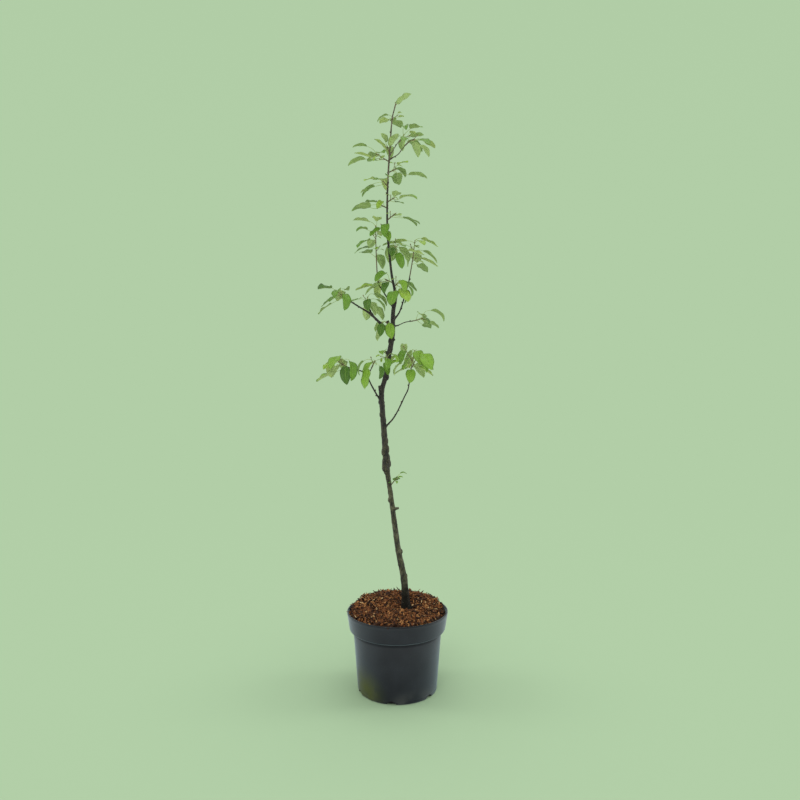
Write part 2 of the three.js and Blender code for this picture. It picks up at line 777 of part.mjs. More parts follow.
// Assembly
const MATERIALS = {
  pot: new THREE.MeshStandardMaterial({ color: 0x3a4347, roughness: 0.5, metalness: 0 }),
  soil: new THREE.MeshStandardMaterial({ color: 0x6a4531, roughness: 0.95, metalness: 0 }),
  bark: new THREE.MeshStandardMaterial({ color: 0x4b4439, roughness: 0.85, metalness: 0 }),
  foliage: new THREE.MeshStandardMaterial({ color: 0x6f9a3f, roughness: 0.55, metalness: 0 }),
};

const tree = new THREE.Group();

function addPiece(parent, name, solid, material) {
  const mesh = new THREE.Mesh(geometryOf(solid), material);
  mesh.name = name;
  parent.add(mesh);
}

const container = new THREE.Group();
addPiece(container, "pot", potSolid(), MATERIALS.pot);
addPiece(container, "soil", soilSolid(), MATERIALS.soil);
tree.add(container);

const trunk = limbFromRows("trunk", TRUNK);
const boughs = Object.entries(BOUGHS).map(([name, { rows }]) => limbFromRows(name, rows));
const stubs = STUBS.map((rows) => limbFromRows("stub", rows));
const limbs = [trunk, ...boughs];

// The trunk with its stubs, grown by a margin where other pieces are cut clear of it.
function stemSolid(margin) {
  const parts = stubs.map((stub) => limbSolid(stub, BOUGH_SIDES, margin));
  return joined([limbSolid(trunk, TRUNK_SIDES, margin), ...parts]);
}

const cutters = new Map([["trunk", stemSolid(CLEARANCE)]]);
for (const bough of boughs) cutters.set(bough.name, limbSolid(bough, BOUGH_SIDES, CLEARANCE));

const wood = new THREE.Group();
const underGround = new THREE.BoxGeometry(60, 60, 40).translate(TRUNK[0][0], 0, GROUND - 20);
addPiece(wood, "trunk", stemSolid(0).subtract(solidOf(underGround)), MATERIALS.bark);
for (const bough of boughs) {
  const cutter = cutters.get(BOUGHS[bough.name].from);
  const solid = largestBody(limbSolid(bough, BOUGH_SIDES).subtract(cutter));
  addPiece(wood, bough.name, solid, MATERIALS.bark);
}
tree.add(wood);

const crown = new THREE.Group();
const masses = MASSES.map((plan) => layStem(plan, limbs));
for (const mass of masses) fillMass(mass, masses, limbs);
for (const mass of masses) {
  addPiece(crown, mass.plan.name, massSolid(mass, [...cutters.values()]), MATERIALS.foliage);
}
tree.add(crown);

export default tree;
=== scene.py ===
"""A young pear tree in a round nursery pot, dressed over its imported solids.

The growth rule works in millimetres, as the tree was measured, and every mesh is written in metres.
The origin is the middle of the pot's flat underside, +Z is up and the front of the tree is -Y.
"""

from __future__ import annotations

import json
import logging
import math
from collections.abc import Iterable, Sequence
from dataclasses import dataclass, field, replace
from enum import Enum
from itertools import pairwise
from typing import Any

import bpy
import numpy as np
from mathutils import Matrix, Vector, kdtree, noise

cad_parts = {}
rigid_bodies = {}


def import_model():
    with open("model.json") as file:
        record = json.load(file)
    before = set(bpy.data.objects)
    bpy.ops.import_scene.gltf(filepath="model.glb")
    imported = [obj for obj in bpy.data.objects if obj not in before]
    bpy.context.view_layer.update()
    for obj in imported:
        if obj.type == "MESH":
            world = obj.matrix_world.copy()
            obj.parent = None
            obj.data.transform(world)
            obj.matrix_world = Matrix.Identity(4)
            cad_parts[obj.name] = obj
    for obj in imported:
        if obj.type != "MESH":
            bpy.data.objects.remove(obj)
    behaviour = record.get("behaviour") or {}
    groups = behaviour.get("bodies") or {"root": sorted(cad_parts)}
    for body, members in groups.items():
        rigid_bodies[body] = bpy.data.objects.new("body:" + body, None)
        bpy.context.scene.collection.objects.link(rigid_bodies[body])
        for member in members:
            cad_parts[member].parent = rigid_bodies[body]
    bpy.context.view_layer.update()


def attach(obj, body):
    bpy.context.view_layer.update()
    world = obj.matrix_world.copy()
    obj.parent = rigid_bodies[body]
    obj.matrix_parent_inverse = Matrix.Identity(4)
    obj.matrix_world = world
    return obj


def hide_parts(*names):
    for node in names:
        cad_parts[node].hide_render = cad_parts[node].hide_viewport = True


LOG = logging.getLogger("pear_tree")
MM = 0.001
BODY = "root"
GOLDEN_TURN = 137.5
Colour = tuple[float, float, float, float]
Array = np.ndarray
Thing = bpy.types.Object
Shelf = bpy.types.Collection
Socket = bpy.types.NodeSocket
Skin = tuple[Array, list[tuple[int, ...]]]


def srgb(*seen: int) -> Colour:
    """Turns red, green and blue as seen, 0 to 255, into a linear colour with full alpha."""
    linear = [v / 12.92 if v <= 0.04045 else ((v + 0.055) / 1.055) ** 2.4 for v in np.array(seen) / 255]
    return (*map(float, linear), 1.0)


def dimmed(colour: Colour, share: float) -> Colour:
    """A colour at a share of its strength."""
    return (*(channel * share for channel in colour[:3]), 1.0)


def smooth(low: float, high: float, value: Array | float) -> Array:
    """Rises smoothly from 0 at low to 1 at high."""
    t = np.clip((np.asarray(value, float) - low) / (high - low), 0, 1)
    return t * t * (3 - 2 * t)


class Graph:
    """A node tree that is filled by short calls."""

    def __init__(self, tree: bpy.types.NodeTree) -> None:
        """Keeps the tree to fill."""
        self.tree = tree

    def add(self, kind: str, inputs: dict | None = None, **settings: Any) -> bpy.types.Node:
        """Adds a node, sets its properties, and fills or links its inputs.

        Args:
            kind: The node's type name.
            inputs: Values or output sockets by input name or index.
            **settings: The node's properties.

        Returns:
            The new node.
        """
        node = self.tree.nodes.new(kind)
        for name, value in settings.items():
            setattr(node, name, value)
        self.fill(node, inputs or {})
        return node

    def fill(self, node: bpy.types.Node, inputs: dict) -> None:
        """Fills or links a node's inputs.

        Args:
            node: The node.
            inputs: Values or output sockets by input name or index.
        """
        for key, value in inputs.items():
            if isinstance(value, Socket):
                self.tree.links.new(value, node.inputs[key])
            else:
                node.inputs[key].default_value = value

    def put(self, kind: str, inputs: dict | None = None, **settings: Any) -> Socket:
        """Adds a node as above and returns its first output."""
        return self.add(kind, inputs, **settings).outputs[0]

    def math(self, operation: str, *values: Any) -> Socket:
        """The result of a math node on numbers or sockets, in order."""
        return self.put("ShaderNodeMath", dict(enumerate(values)), operation=operation)

    def times(self, first: Any, second: Any) -> Socket:
        """The product of two numbers or sockets."""
        return self.math("MULTIPLY", first, second)

    def vector(self, operation: str, inputs: dict) -> Socket:
        """The result of a vector math node."""
        outputs = self.add("ShaderNodeVectorMath", inputs, operation=operation).outputs
        return outputs["Value" if operation in ("DISTANCE", "LENGTH") else "Vector"]

    def drawn_out(self, place: Any, stretch: Any) -> Socket:
        """A place by which a pattern runs on along Z, longer by the stretch."""
        longer = self.put("ShaderNodeCombineXYZ", {"X": 1.0, "Y": 1.0, "Z": stretch})
        return self.vector("DIVIDE", {0: place, 1: longer})

    def remap(self, value: Any, low: float, high: float, out: tuple = (0.0, 1.0)) -> Socket:
        """Maps a value smoothly from the span low to high to the span out."""
        ends = {"Value": value, "From Min": low, "From Max": high, 3: out[0], 4: out[1]}
        return self.put("ShaderNodeMapRange", ends, interpolation_type="SMOOTHSTEP")

    def blend(self, factor: Any, first: Any, second: Any) -> Socket:
        """Mixes two colours, where the factor is the share of the second."""
        inputs = {0: factor, 6: first, 7: second}
        return self.add("ShaderNodeMix", inputs, data_type="RGBA").outputs[2]


class ShaderGroups:
    """Effects that several finishes share, each built once as a node group."""

    def __init__(self) -> None:
        """Builds the groups."""
        self.mottle = self._mottle()
        self.grain = self._grain()
        self.veins = self._veins()

    def _start(self, name: str, inputs: dict[str, Any], outputs: Sequence[str]) -> tuple:
        """Makes an empty group with its sockets.

        Args:
            name: The group's name.
            inputs: Default values by name, None for a vector.
            outputs: Names of the value outputs.

        Returns:
            The graph, the group's own inputs and its output node.
        """
        tree = bpy.data.node_groups.new(name, "ShaderNodeTree")
        new = tree.interface.new_socket
        for label, default in inputs.items():
            kind = "NodeSocketVector" if default is None else "NodeSocketFloat"
            socket = new(name=label, in_out="INPUT", socket_type=kind)
            if default is not None:
                socket.default_value = default
        for label in outputs:
            new(name=label, in_out="OUTPUT", socket_type="NodeSocketFloat")
        graph = Graph(tree)
        return graph, graph.add("NodeGroupInput").outputs, graph.add("NodeGroupOutput")

    def _mottle(self) -> bpy.types.NodeTree:
        """Soft patches: a noise cut between two levels.

        Returns:
            The group.
        """
        given = {"Vector": None, "Scale": 40.0, "Low": 0.4, "High": 0.6}
        graph, start, end = self._start("Mottle", given, ["Mask"])
        source = {"Vector": start["Vector"], "Scale": start["Scale"], "Detail": 3.0}
        patches = graph.put("ShaderNodeTexNoise", source)
        graph.fill(end, {"Mask": graph.remap(patches, start["Low"], start["High"])})
        return graph.tree

    def _grain(self) -> bpy.types.NodeTree:
        """Fine relief that can be drawn out along Z.

        Returns:
            The group.
        """
        given = {"Vector": None, "Scale": 300.0, "Stretch": 1.0}
        graph, start, end = self._start("Grain", given, ["Height"])
        drawn = graph.drawn_out(start["Vector"], start["Stretch"])
        source = {"Vector": drawn, "Scale": start["Scale"], "Detail": 5.0, "Roughness": 0.62}
        graph.fill(end, {"Height": graph.put("ShaderNodeTexNoise", source)})
        return graph.tree

    def _veins(self) -> bpy.types.NodeTree:
        """A leaf's midrib and side veins from its own map: U along the blade, V across it.

        Returns:
            The group.
        """
        given = {"Map": None, "Pairs": 8.0, "Sweep": 0.23, "Width": 0.1}
        graph, start, end = self._start("Leaf veins", given, ["Midrib", "Side veins"])
        parts = graph.add("ShaderNodeSeparateXYZ", {0: start["Map"]}).outputs
        out = graph.math("ABSOLUTE", graph.math("MULTIPLY_ADD", parts["Y"], 2.0, -1.0))
        back = graph.times(graph.math("POWER", out, 1.25), start["Sweep"])
        place = graph.math("SUBTRACT", parts["X"], back)
        phase = graph.math("FRACT", graph.times(place, start["Pairs"]))
        off = graph.math("ABSOLUTE", graph.math("SUBTRACT", phase, 0.5))
        line = graph.remap(off, 0.0, start["Width"], (1.0, 0.0))
        side = graph.times(line, graph.remap(out, 0.7, 1.0, (1.0, 0.0)))
        graph.fill(end, {"Midrib": graph.remap(out, 0.02, 0.11, (1.0, 0.0)), "Side veins": side})
        return graph.tree


class Paint:
    """A material under way: its graph, its Principled node and its own coordinates."""

    def __init__(self, name: str, groups: ShaderGroups | None = None) -> None:
        """Starts the material.

        Args:
            name: The material's name.
            groups: The shared effects, if it uses any.
        """
        self.material = bpy.data.materials.new(name)
        self.material.use_nodes = True
        self.groups = groups
        self.graph = Graph(self.material.node_tree)
        coords = self.graph.add("ShaderNodeTexCoord").outputs
        self.place, self.map = coords["Object"], coords["UV"]

    def height(self) -> Socket:
        """How high a place lies above the ground, in metres."""
        return self.graph.add("ShaderNodeSeparateXYZ", {0: self.place}).outputs["Z"]

    def mottle(self, scale: float, low: float, high: float) -> Socket:
        """A mask of soft patches, cut from noise between two levels."""
        inputs = {"Vector": self.place, "Scale": scale, "Low": low, "High": high}
        return self.graph.put("ShaderNodeGroup", inputs, node_tree=self.groups.mottle)

    def grain(self, scale: float, stretch: float = 1.0) -> Socket:
        """The height of fine relief, drawn out along Z by a factor."""
        inputs = {"Vector": self.place, "Scale": scale, "Stretch": stretch}
        return self.graph.put("ShaderNodeGroup", inputs, node_tree=self.groups.grain)

    def bump(self, height: Any, depth: float) -> Socket:
        """Turns a height from 0 to 1 into a normal, for a depth in millimetres."""
        inputs = {"Strength": 1.0, "Distance": depth * MM, "Height": height}
        return self.graph.put("ShaderNodeBump", inputs)

    def finish(self, **sockets: Any) -> bpy.types.Material:
        """Fills or links inputs of the Principled node.

        Args:
            **sockets: Values or sockets by input name, with _ for a space.

        Returns:
            The finished material.
        """
        shader = self.material.node_tree.nodes["Principled BSDF"]
        self.graph.fill(shader, {key.replace("_", " "): value for key, value in sockets.items()})
        return self.material


@dataclass(frozen=True)
class PlasticFinish:
    """Moulded blue-black plastic, dusty near its foot, with painted shade under its collar and along its
    lip, and an algae stain low on its left.
    """

    groups: ShaderGroups
    body: Colour = srgb(18, 25, 28)
    worn: Colour = srgb(32, 40, 44)
    # The colour of the painted shade under the collar, over the collar and along the lip
    shaded: Colour = srgb(12, 16, 18)
    dust: Colour = srgb(78, 82, 74)
    sheen: Colour = srgb(190, 222, 222)
    stain: Colour = srgb(70, 80, 18)
    stain_centre: tuple[float, float, float] = (-0.062, -0.042, 0.009)
    stain_reach: float = 0.06
    # Where the painted shade lies: along the lip, in a band under the collar, and lightly over the
    # collar up to collar_height
    lip_foot: float = 0.1395
    lip_top: float = 0.1425
    shade_height: float = 0.1074
    shade_reach: float = 0.006
    collar_height: float = 0.116

    def material(self) -> bpy.types.Material:
        """Builds the material.

        Returns:
            The finished material.
        """
        paint = Paint("nursery_plastic", self.groups)
        graph, height = paint.graph, paint.height()
        clouds, specks = paint.mottle(26.0, 0.35, 0.75), paint.mottle(420.0, 0.62, 0.72)
        splashed = graph.times(graph.remap(height, 0.03, 0.0, (0.0, 0.55)), clouds)
        dusty = graph.math("ADD", splashed, graph.times(specks, 0.16))
        base = graph.blend(graph.times(clouds, 0.5), self.body, self.worn)
        base = graph.blend(dusty, base, self.dust)
        # Painted shade: darker base and less sheen and specular in a band under the collar, a little
        # over the whole collar, and along the lip
        off = graph.math("ABSOLUTE", graph.math("SUBTRACT", height, self.shade_height))
        unshaded = graph.remap(off, self.shade_reach * 0.4, self.shade_reach, (0.58, 1.0))
        collar_shade = graph.remap(height, self.shade_height, self.collar_height, (1.0, 0.9))
        lip = graph.remap(height, self.lip_foot, self.lip_top, (1.0, 0.45))
        unshaded = graph.times(unshaded, graph.times(collar_shade, lip))
        base = graph.blend(unshaded, self.shaded, base)
        gap = graph.vector("DISTANCE", {0: paint.place, 1: self.stain_centre})
        near_stain = graph.remap(gap, self.stain_reach, 0.006)
        stained = graph.times(near_stain, paint.mottle(60.0, 0.0, 0.6))
        rough = graph.math("MULTIPLY_ADD", clouds, 0.12, 0.36)
        return paint.finish(
            Base_Color=graph.blend(stained, base, self.stain),
            Roughness=graph.math("ADD", rough, graph.times(dusty, 0.3)),
            Normal=paint.bump(paint.grain(900.0), 0.07),
            Sheen_Weight=graph.times(unshaded, graph.math("MULTIPLY_ADD", stained, -0.5, 0.68)),
            Sheen_Roughness=0.42,
            Sheen_Tint=self.sheen,
            Specular_IOR_Level=graph.times(unshaded, 0.5),
        )


@dataclass(frozen=True)
class BarkFinish:
    """Young bark: grey and mottled on the old stem, dark on younger wood, paler on the leader, and
    darker and less glossy just above the soil.
    """

    groups: ShaderGroups
    old: Colour = srgb(68, 69, 46)
    old_dark: Colour = srgb(28, 30, 19)
    pale: Colour = srgb(101, 103, 77)
    soil_dark: Colour = srgb(13, 11, 8)
    young: Colour = srgb(50, 50, 39)
    young_dark: Colour = srgb(21, 22, 17)
    leader: Colour = srgb(104, 98, 78)
    leader_dark: Colour = srgb(58, 54, 42)
    graft_height: float = 0.44
    leader_height: float = 0.9
    fade: float = 0.1
    # Where the bark turns darker towards the soil, and how far
    soil_dark_top: float = 0.213
    soil_dark_foot: float = 0.172
    soil_dark_share: float = 0.9

    def material(self) -> bpy.types.Material:
        """Builds the material.

        Returns:
            The finished material.
        """
        paint = Paint("young_bark", self.groups)
        graph, height = paint.graph, paint.height()
        streaks, fine = paint.grain(400.0, 4.0), paint.grain(1500.0, 2.0)
        streak = graph.remap(streaks, 0.41, 0.6)
        lichen = graph.times(paint.mottle(95.0, 0.5, 0.68), 0.55)
        old = graph.blend(lichen, graph.blend(streak, self.old_dark, self.old), self.pale)
        young = graph.blend(streak, self.young_dark, self.young)
        leader = graph.blend(streak, self.leader_dark, self.leader)
        aged = graph.remap(height, self.graft_height + self.fade, self.graft_height - self.fade)
        high = graph.remap(height, self.leader_height - self.fade, self.leader_height + self.fade)
        # Darker and less glossy towards the soil
        soil_dark = graph.remap(height, self.soil_dark_top, self.soil_dark_foot, (0.0, self.soil_dark_share))
        base = graph.blend(aged, graph.blend(high, young, leader), old)
        relief = graph.math("MULTIPLY_ADD", fine, 0.6, streaks)
        return paint.finish(
            Base_Color=graph.blend(soil_dark, base, self.soil_dark),
            Roughness=graph.math("MULTIPLY_ADD", streak, 0.2, 0.62),
            Normal=paint.bump(relief, 0.22),
            Specular_IOR_Level=graph.remap(soil_dark, 1.0, 0.0, (0.12, 0.3)),
        )


@dataclass(frozen=True)
class LeafFinish:
    """One side of a leaf: a plain tint with paler veins, satin above and matt below."""

    groups: ShaderGroups
    name: str
    tint: Colour
    vein: Colour
    roughness: float
    vein_share: float = 0.26
    gloss: float = 0.32
    relief: float = 0.16

    def material(self) -> bpy.types.Material:
        """Builds the material.

        Returns:
            The finished material.
        """
        paint = Paint(self.name, self.groups)
        graph, pores = paint.graph, paint.grain(1800.0)
        veins = graph.add("ShaderNodeGroup", {"Map": paint.map}, node_tree=self.groups.veins).outputs
        base = graph.blend(paint.mottle(130.0, 0.3, 0.7), dimmed(self.tint, 0.84), self.tint)
        sides = graph.times(veins["Side veins"], self.vein_share * 0.55)
        shown = graph.math("MULTIPLY_ADD", veins["Midrib"], self.vein_share, sides)
        height = graph.math("MULTIPLY_ADD", pores, 0.5, graph.times(veins["Side veins"], -0.8))
        return paint.finish(
            Base_Color=graph.blend(shown, base, self.vein),
            Roughness=graph.math("MULTIPLY_ADD", pores, 0.16, self.roughness),
            Normal=paint.bump(height, self.relief),
            Specular_IOR_Level=self.gloss,
        )


@dataclass(frozen=True)
class GrainyFinish:
    """A matt natural surface in two tones: chips, soil, shoots, stalks and buds."""

    groups: ShaderGroups
    name: str
    dark: Colour
    light: Colour
    scale: float
    stretch: float
    roughness: float
    relief: float

    def material(self) -> bpy.types.Material:
        """Builds the material.

        Returns:
            The finished material.
        """
        paint = Paint(self.name, self.groups)
        graph, grain = paint.graph, paint.grain(self.scale, self.stretch)
        tone = graph.remap(grain, 0.34, 0.66)
        return paint.finish(
            Base_Color=graph.blend(tone, self.dark, self.light),
            Roughness=graph.math("MULTIPLY_ADD", tone, 0.15, self.roughness - 0.08),
            Normal=paint.bump(grain, self.relief),
            Specular_IOR_Level=0.2,
        )


def mesh_object(
    name: str,
    points: Array,
    faces: Iterable[Sequence[int]] = (),
    edges: Iterable[Sequence[int]] = (),
) -> Thing:
    """Makes an object in the scene from points in metres.

    Args:
        name: The object's name.
        points: Its vertices.
        faces: Its faces as vertex numbers.
        edges: Its loose edges.

    Returns:
        The object, at the origin.
    """
    mesh = bpy.data.meshes.new(name)
    mesh.from_pydata([tuple(map(float, p)) for p in points], list(edges), list(faces))
    mesh.update()
    made = bpy.data.objects.new(name, mesh)
    bpy.context.scene.collection.objects.link(made)
    return made


def capped_rings(first: Sequence[float], rings: Sequence[Array], last: Sequence[float]) -> Skin:
    """A closed skin over rings of points, each end drawn together at a point.

    Args:
        first: The point before the first ring.
        rings: The rings, which all have the same number of points.
        last: The point after the last ring.

    Returns:
        Points and faces.
    """
    points = np.concatenate([[first], *rings, [last]])
    sides = len(rings[0])
    top, end = 1 + (len(rings) - 1) * sides, len(points) - 1
    faces = []
    for j in range(sides):
        k = (j + 1) % sides
        faces += [(0, 1 + k, 1 + j), (top + j, top + k, end)]
        for a in range(1, top, sides):
            faces.append((a + j, a + k, a + sides + k, a + sides + j))
    return points, faces


def ring_turns(count: int) -> tuple[Array, Array]:
    """Cosines and sines of evenly spaced turns."""
    turns = np.linspace(0, math.tau, count, endpoint=False)
    return np.cos(turns), np.sin(turns)


def give(made: Thing, name: str, kind: str, values: Any) -> None:
    """Stores a value on every point of a mesh object.

    Args:
        made: The object.
        name: The attribute's name.
        kind: FLOAT, INT or FLOAT_VECTOR.
        values: One value a point.
    """
    attribute = made.data.attributes.new(name, kind, "POINT")
    field_name = "vector" if kind == "FLOAT_VECTOR" else "value"
    attribute.data.foreach_set(field_name, np.asarray(values).ravel())


def bake(made: Thing) -> Thing:
    """Turns an object with modifiers into a plain mesh.

    Args:
        made: The object.

    Returns:
        The same object, with its evaluated mesh and no modifier.
    """
    graph = bpy.context.evaluated_depsgraph_get()
    mesh = bpy.data.meshes.new_from_object(
        made.evaluated_get(graph), preserve_all_data_layers=True, depsgraph=graph
    )
    made.modifiers.clear()
    made.data = mesh
    return made


def hand_over(piece: Thing, nodes: Sequence[str] = ()) -> None:
    """Gives a finished piece to the frame and reports it.

    Args:
        piece: The finished piece.
        nodes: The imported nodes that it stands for.
    """
    if nodes:
        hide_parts(*nodes)
    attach(piece, BODY)
    triangles = sum(len(face.vertices) - 2 for face in piece.data.polygons)
    LOG.info("%s: %d triangles", piece.name, triangles)


class Recipe:
    """A Geometry Nodes tree with named inputs."""

    def __init__(self, name: str, **inputs: str) -> None:
        """Makes the tree with its sockets.

        Args:
            name: The tree's name.
            **inputs: The type of each input by name, with _ for a space.
        """
        self.tree = bpy.data.node_groups.new(name, "GeometryNodeTree")
        new = self.tree.interface.new_socket
        for way in ("INPUT", "OUTPUT"):
            new(name="Geometry", in_out=way, socket_type="NodeSocketGeometry")
        self.identifiers = {}
        for label, kind in inputs.items():
            plain = label.replace("_", " ")
            socket = new(name=plain, in_out="INPUT", socket_type=f"NodeSocket{kind}")
            self.identifiers[label] = socket.identifier
        self.graph = Graph(self.tree)
        self.start = self.graph.add("NodeGroupInput").outputs
        self.end = self.graph.add("NodeGroupOutput")

    def named(self, name: str, kind: str = "FLOAT") -> Socket:
        """Reads an attribute of the geometry."""
        node = self.graph.add("GeometryNodeInputNamedAttribute", {"Name": name}, data_type=kind)
        return node.outputs["Attribute"]

    def chance(self, low: Any, high: Any, seed: Any, kind: str = "FLOAT") -> Socket:
        """A random value for each point.

        Args:
            low: The lowest value or socket.
            high: The highest value or socket.
            seed: The seed or socket.
            kind: FLOAT or INT.

        Returns:
            The value socket.
        """
        first, out = {"FLOAT": (2, 1), "INT": (4, 2)}[kind]
        inputs = {first: low, first + 1: high, "Seed": seed}
        return self.graph.add("FunctionNodeRandomValue", inputs, data_type=kind).outputs[out]

    def move(self, geometry: Any, offset: Any) -> Socket:
        """Moves every point by its own offset."""
        inputs = {"Geometry": geometry, "Offset": offset}
        return self.graph.put("GeometryNodeSetPosition", inputs)

    def place(self, points: Any, turn: Any, size: Any, index: Any = 0) -> Socket:
        """Puts patterns of the input named Patterns at points.

        Args:
            points: The points.
            turn: The rotation of each.
            size: The size of each.
            index: Which pattern each gets.

        Returns:
            The instances.
        """
        shelf = {"Collection": self.start["Patterns"], "Separate Children": True, "Reset Children": True}
        patterns = self.graph.put("GeometryNodeCollectionInfo", shelf)
        placing = {"Points": points, "Instance": patterns, "Pick Instance": True}
        placing |= {"Instance Index": index, "Rotation": turn, "Scale": size}
        return self.graph.put("GeometryNodeInstanceOnPoints", placing)

    def paint(self, geometry: Any, label: str, selection: Any = True) -> Socket:
        """Gives the selected faces the material that an input holds."""
        inputs = {"Geometry": geometry, "Selection": selection, "Material": self.start[label]}
        return self.graph.put("GeometryNodeSetMaterial", inputs)

    def finish(self, geometry: Any) -> None:
        """Ends the tree with instances realized and a material set."""
        real = self.graph.put("GeometryNodeRealizeInstances", {"Geometry": geometry})
        self.tree.links.new(self.paint(real, "Material"), self.end.inputs[0])

    def run(self, made: Thing, **values: Any) -> Thing:
        """Runs the tree on an object and keeps the result as its mesh.

        Args:
            made: The object that carries the source geometry.
            **values: The inputs by name, with _ for a space.

        Returns:
            The same object with a plain mesh.
        """
        modifier = made.modifiers.new(self.tree.name, "NODES")
        modifier.node_group = self.tree
        for label, value in values.items():
            modifier[self.identifiers[label]] = value
        bake(made).data.shade_smooth()
        return made


class Recipes:
    """The trees that the sub-assemblies share."""

    def __init__(self) -> None:
        """Builds the trees."""
        self.shoots = self._shoots()
        self.set_out = self._set_out()
        self.scatter = self._scatter()
        self.lenticels = self._lenticels()
        self.relief = self._relief()

    def _shoots(self) -> Recipe:
        """Round shoots along edges, as thick as the attribute girth says.

        Returns:
            The recipe.
        """
        recipe = Recipe("Round shoots", Sides="Int", Material="Material")
        graph, start = recipe.graph, recipe.start
        ring = {"Resolution": start["Sides"]}
        inputs = {
            "Curve": graph.put("GeometryNodeMeshToCurve", {"Mesh": start["Geometry"]}),
            "Profile Curve": graph.put("GeometryNodeCurvePrimitiveCircle", ring),
            "Scale": recipe.named("girth"),
            "Fill Caps": True,
        }
        recipe.finish(graph.put("GeometryNodeCurveToMesh", inputs))
        return recipe

    def _set_out(self) -> Recipe:
        """One pattern at each point, turned and sized by the point's attributes.

        Returns:
            The recipe.
        """
        recipe = Recipe(
            "Set out at points", Patterns="Collection", Ripple="Float", Ripple_scale="Float",
            Material="Material", Under_material="Material",
        )
        graph, start = recipe.graph, recipe.start
        axes = {
            "Primary Axis": recipe.named("forward", "FLOAT_VECTOR"),
            "Secondary Axis": recipe.named("upright", "FLOAT_VECTOR"),
        }
        turn = graph.put("FunctionNodeAxesToRotation", axes, primary_axis="X", secondary_axis="Z")
        size, kind = recipe.named("size"), recipe.named("pattern", "INT")
        placed = recipe.place(start["Geometry"], turn, size, kind)
        real = graph.put("GeometryNodeRealizeInstances", {"Geometry": placed})
        where = graph.put("GeometryNodeInputPosition")
        waves = graph.add("ShaderNodeTexNoise", {"Vector": where, "Scale": start["Ripple scale"]})
        centred = graph.vector("SUBTRACT", {0: waves.outputs["Color"], 1: (0.5, 0.5, 0.5)})
        reach = graph.times(start["Ripple"], recipe.named("station"))
        top = recipe.move(real, graph.vector("SCALE", {0: centred, "Scale": reach}))
        under = recipe.named("underside", "BOOLEAN")
        painted = recipe.paint(recipe.paint(top, "Material"), "Under material", under)
        graph.tree.links.new(painted, recipe.end.inputs[0])
        return recipe

    def _scatter(self) -> Recipe:
        """Patterns strewn over a surface at random turns, tilts, sizes and heights.

        Returns:
            The recipe.
        """
        recipe = Recipe(
            "Strew on a surface", Patterns="Collection", Density="Float", Kinds="Int",
            Tilt="Float", Lift="Float", Least_size="Float", Most_size="Float", Seed="Int",
            Material="Material",
        )
        graph, start = recipe.graph, recipe.start
        seed, tilt = start["Seed"], start["Tilt"]
        seeds = [graph.math("ADD", seed, float(i)) for i in range(1, 6)]
        source = {"Mesh": start["Geometry"], "Density": start["Density"], "Seed": seed}
        spread = graph.put("GeometryNodeDistributePointsOnFaces", source)
        raised = graph.put("ShaderNodeCombineXYZ", {"Z": recipe.chance(0.0, start["Lift"], seeds[0])})
        lean = graph.times(tilt, -1.0)
        turn = {axis: recipe.chance(lean, tilt, seeds[i]) for axis, i in (("X", 1), ("Y", 2))}
        turn["Z"] = recipe.chance(0.0, math.tau, seeds[3])
        turned = graph.put("ShaderNodeCombineXYZ", turn)
        kind = recipe.chance(0, graph.math("SUBTRACT", start["Kinds"], 1.0), seeds[4], "INT")
        size = recipe.chance(start["Least size"], start["Most size"], seed)
        recipe.finish(recipe.place(recipe.move(spread, raised), turned, size, kind))
        return recipe

    def _lenticels(self) -> Recipe:
        """Lenticels strewn over bark, each lying flat and level round its limb.

        Returns:
            The recipe.
        """
        recipe = Recipe(
            "Lenticels", Patterns="Collection", Density="Float", Seed="Int", Material="Material"
        )
        graph, start = recipe.graph, recipe.start
        source = {"Mesh": start["Geometry"], "Density": start["Density"], "Seed": start["Seed"]}
        spread = graph.add("GeometryNodeDistributePointsOnFaces", source).outputs
        level = graph.vector("CROSS_PRODUCT", {0: (0, 0, 1), 1: spread["Normal"]})
        axes = {"Primary Axis": spread["Normal"], "Secondary Axis": level}
        turn = graph.put("FunctionNodeAxesToRotation", axes, primary_axis="Z", secondary_axis="Y")
        girth = graph.math("MULTIPLY_ADD", recipe.named("girth"), 0.6, 0.4)
        size = graph.times(recipe.chance(0.4, 1.0, 3), girth)
        recipe.finish(recipe.place(spread[0], turn, size))
        return recipe

    def _relief(self) -> Recipe:
        """Bark relief: the surface pushed in and out by drawn-out noise, deeper on thick wood.

        Returns:
            The recipe.
        """
        recipe = Recipe(
            "Bark relief", Depth="Float", Scale="Float", Stretch="Float", Material="Material"
        )
        graph, start = recipe.graph, recipe.start
        drawn = graph.drawn_out(graph.put("GeometryNodeInputPosition"), start["Stretch"])
        heights = []
        for times, detail in ((1.0, 2.0), (2.7, 1.0)):
            scale = graph.times(start["Scale"], times)
            source = {"Vector": drawn, "Scale": scale, "Detail": detail}
            heights.append(graph.math("SUBTRACT", graph.put("ShaderNodeTexNoise", source), 0.5))
        height = graph.math("MULTIPLY_ADD", heights[1], 0.6, heights[0])
        reach = graph.times(height, graph.times(start["Depth"], recipe.named("girth")))
        offset = graph.vector("SCALE", {0: graph.put("GeometryNodeInputNormal"), "Scale": reach})
        recipe.finish(recipe.move(start["Geometry"], offset))
        return recipe

    def round_lines(
        self, name: str, lines: Sequence[tuple[Array, Array]], sides: int, finish: GrainyFinish
    ) -> Thing:
        """Draws round shoots along lines.

        Args:
            name: The object's name.
            lines: Points and radii of each line, in millimetres.
            sides: How many sides a shoot has.
            finish: What it is dressed in.

        Returns:
            The object.
        """
        edges, count = [], 0
        for points, _ in lines:
            edges += [(count + i, count + i + 1) for i in range(len(points) - 1)]
            count += len(points)
        made = mesh_object(name, np.concatenate([p for p, _ in lines]) * MM, edges=edges)
        give(made, "girth", "FLOAT", np.concatenate([r for _, r in lines]) * MM)
        return self.shoots.run(made, Sides=sides, Material=finish.material())


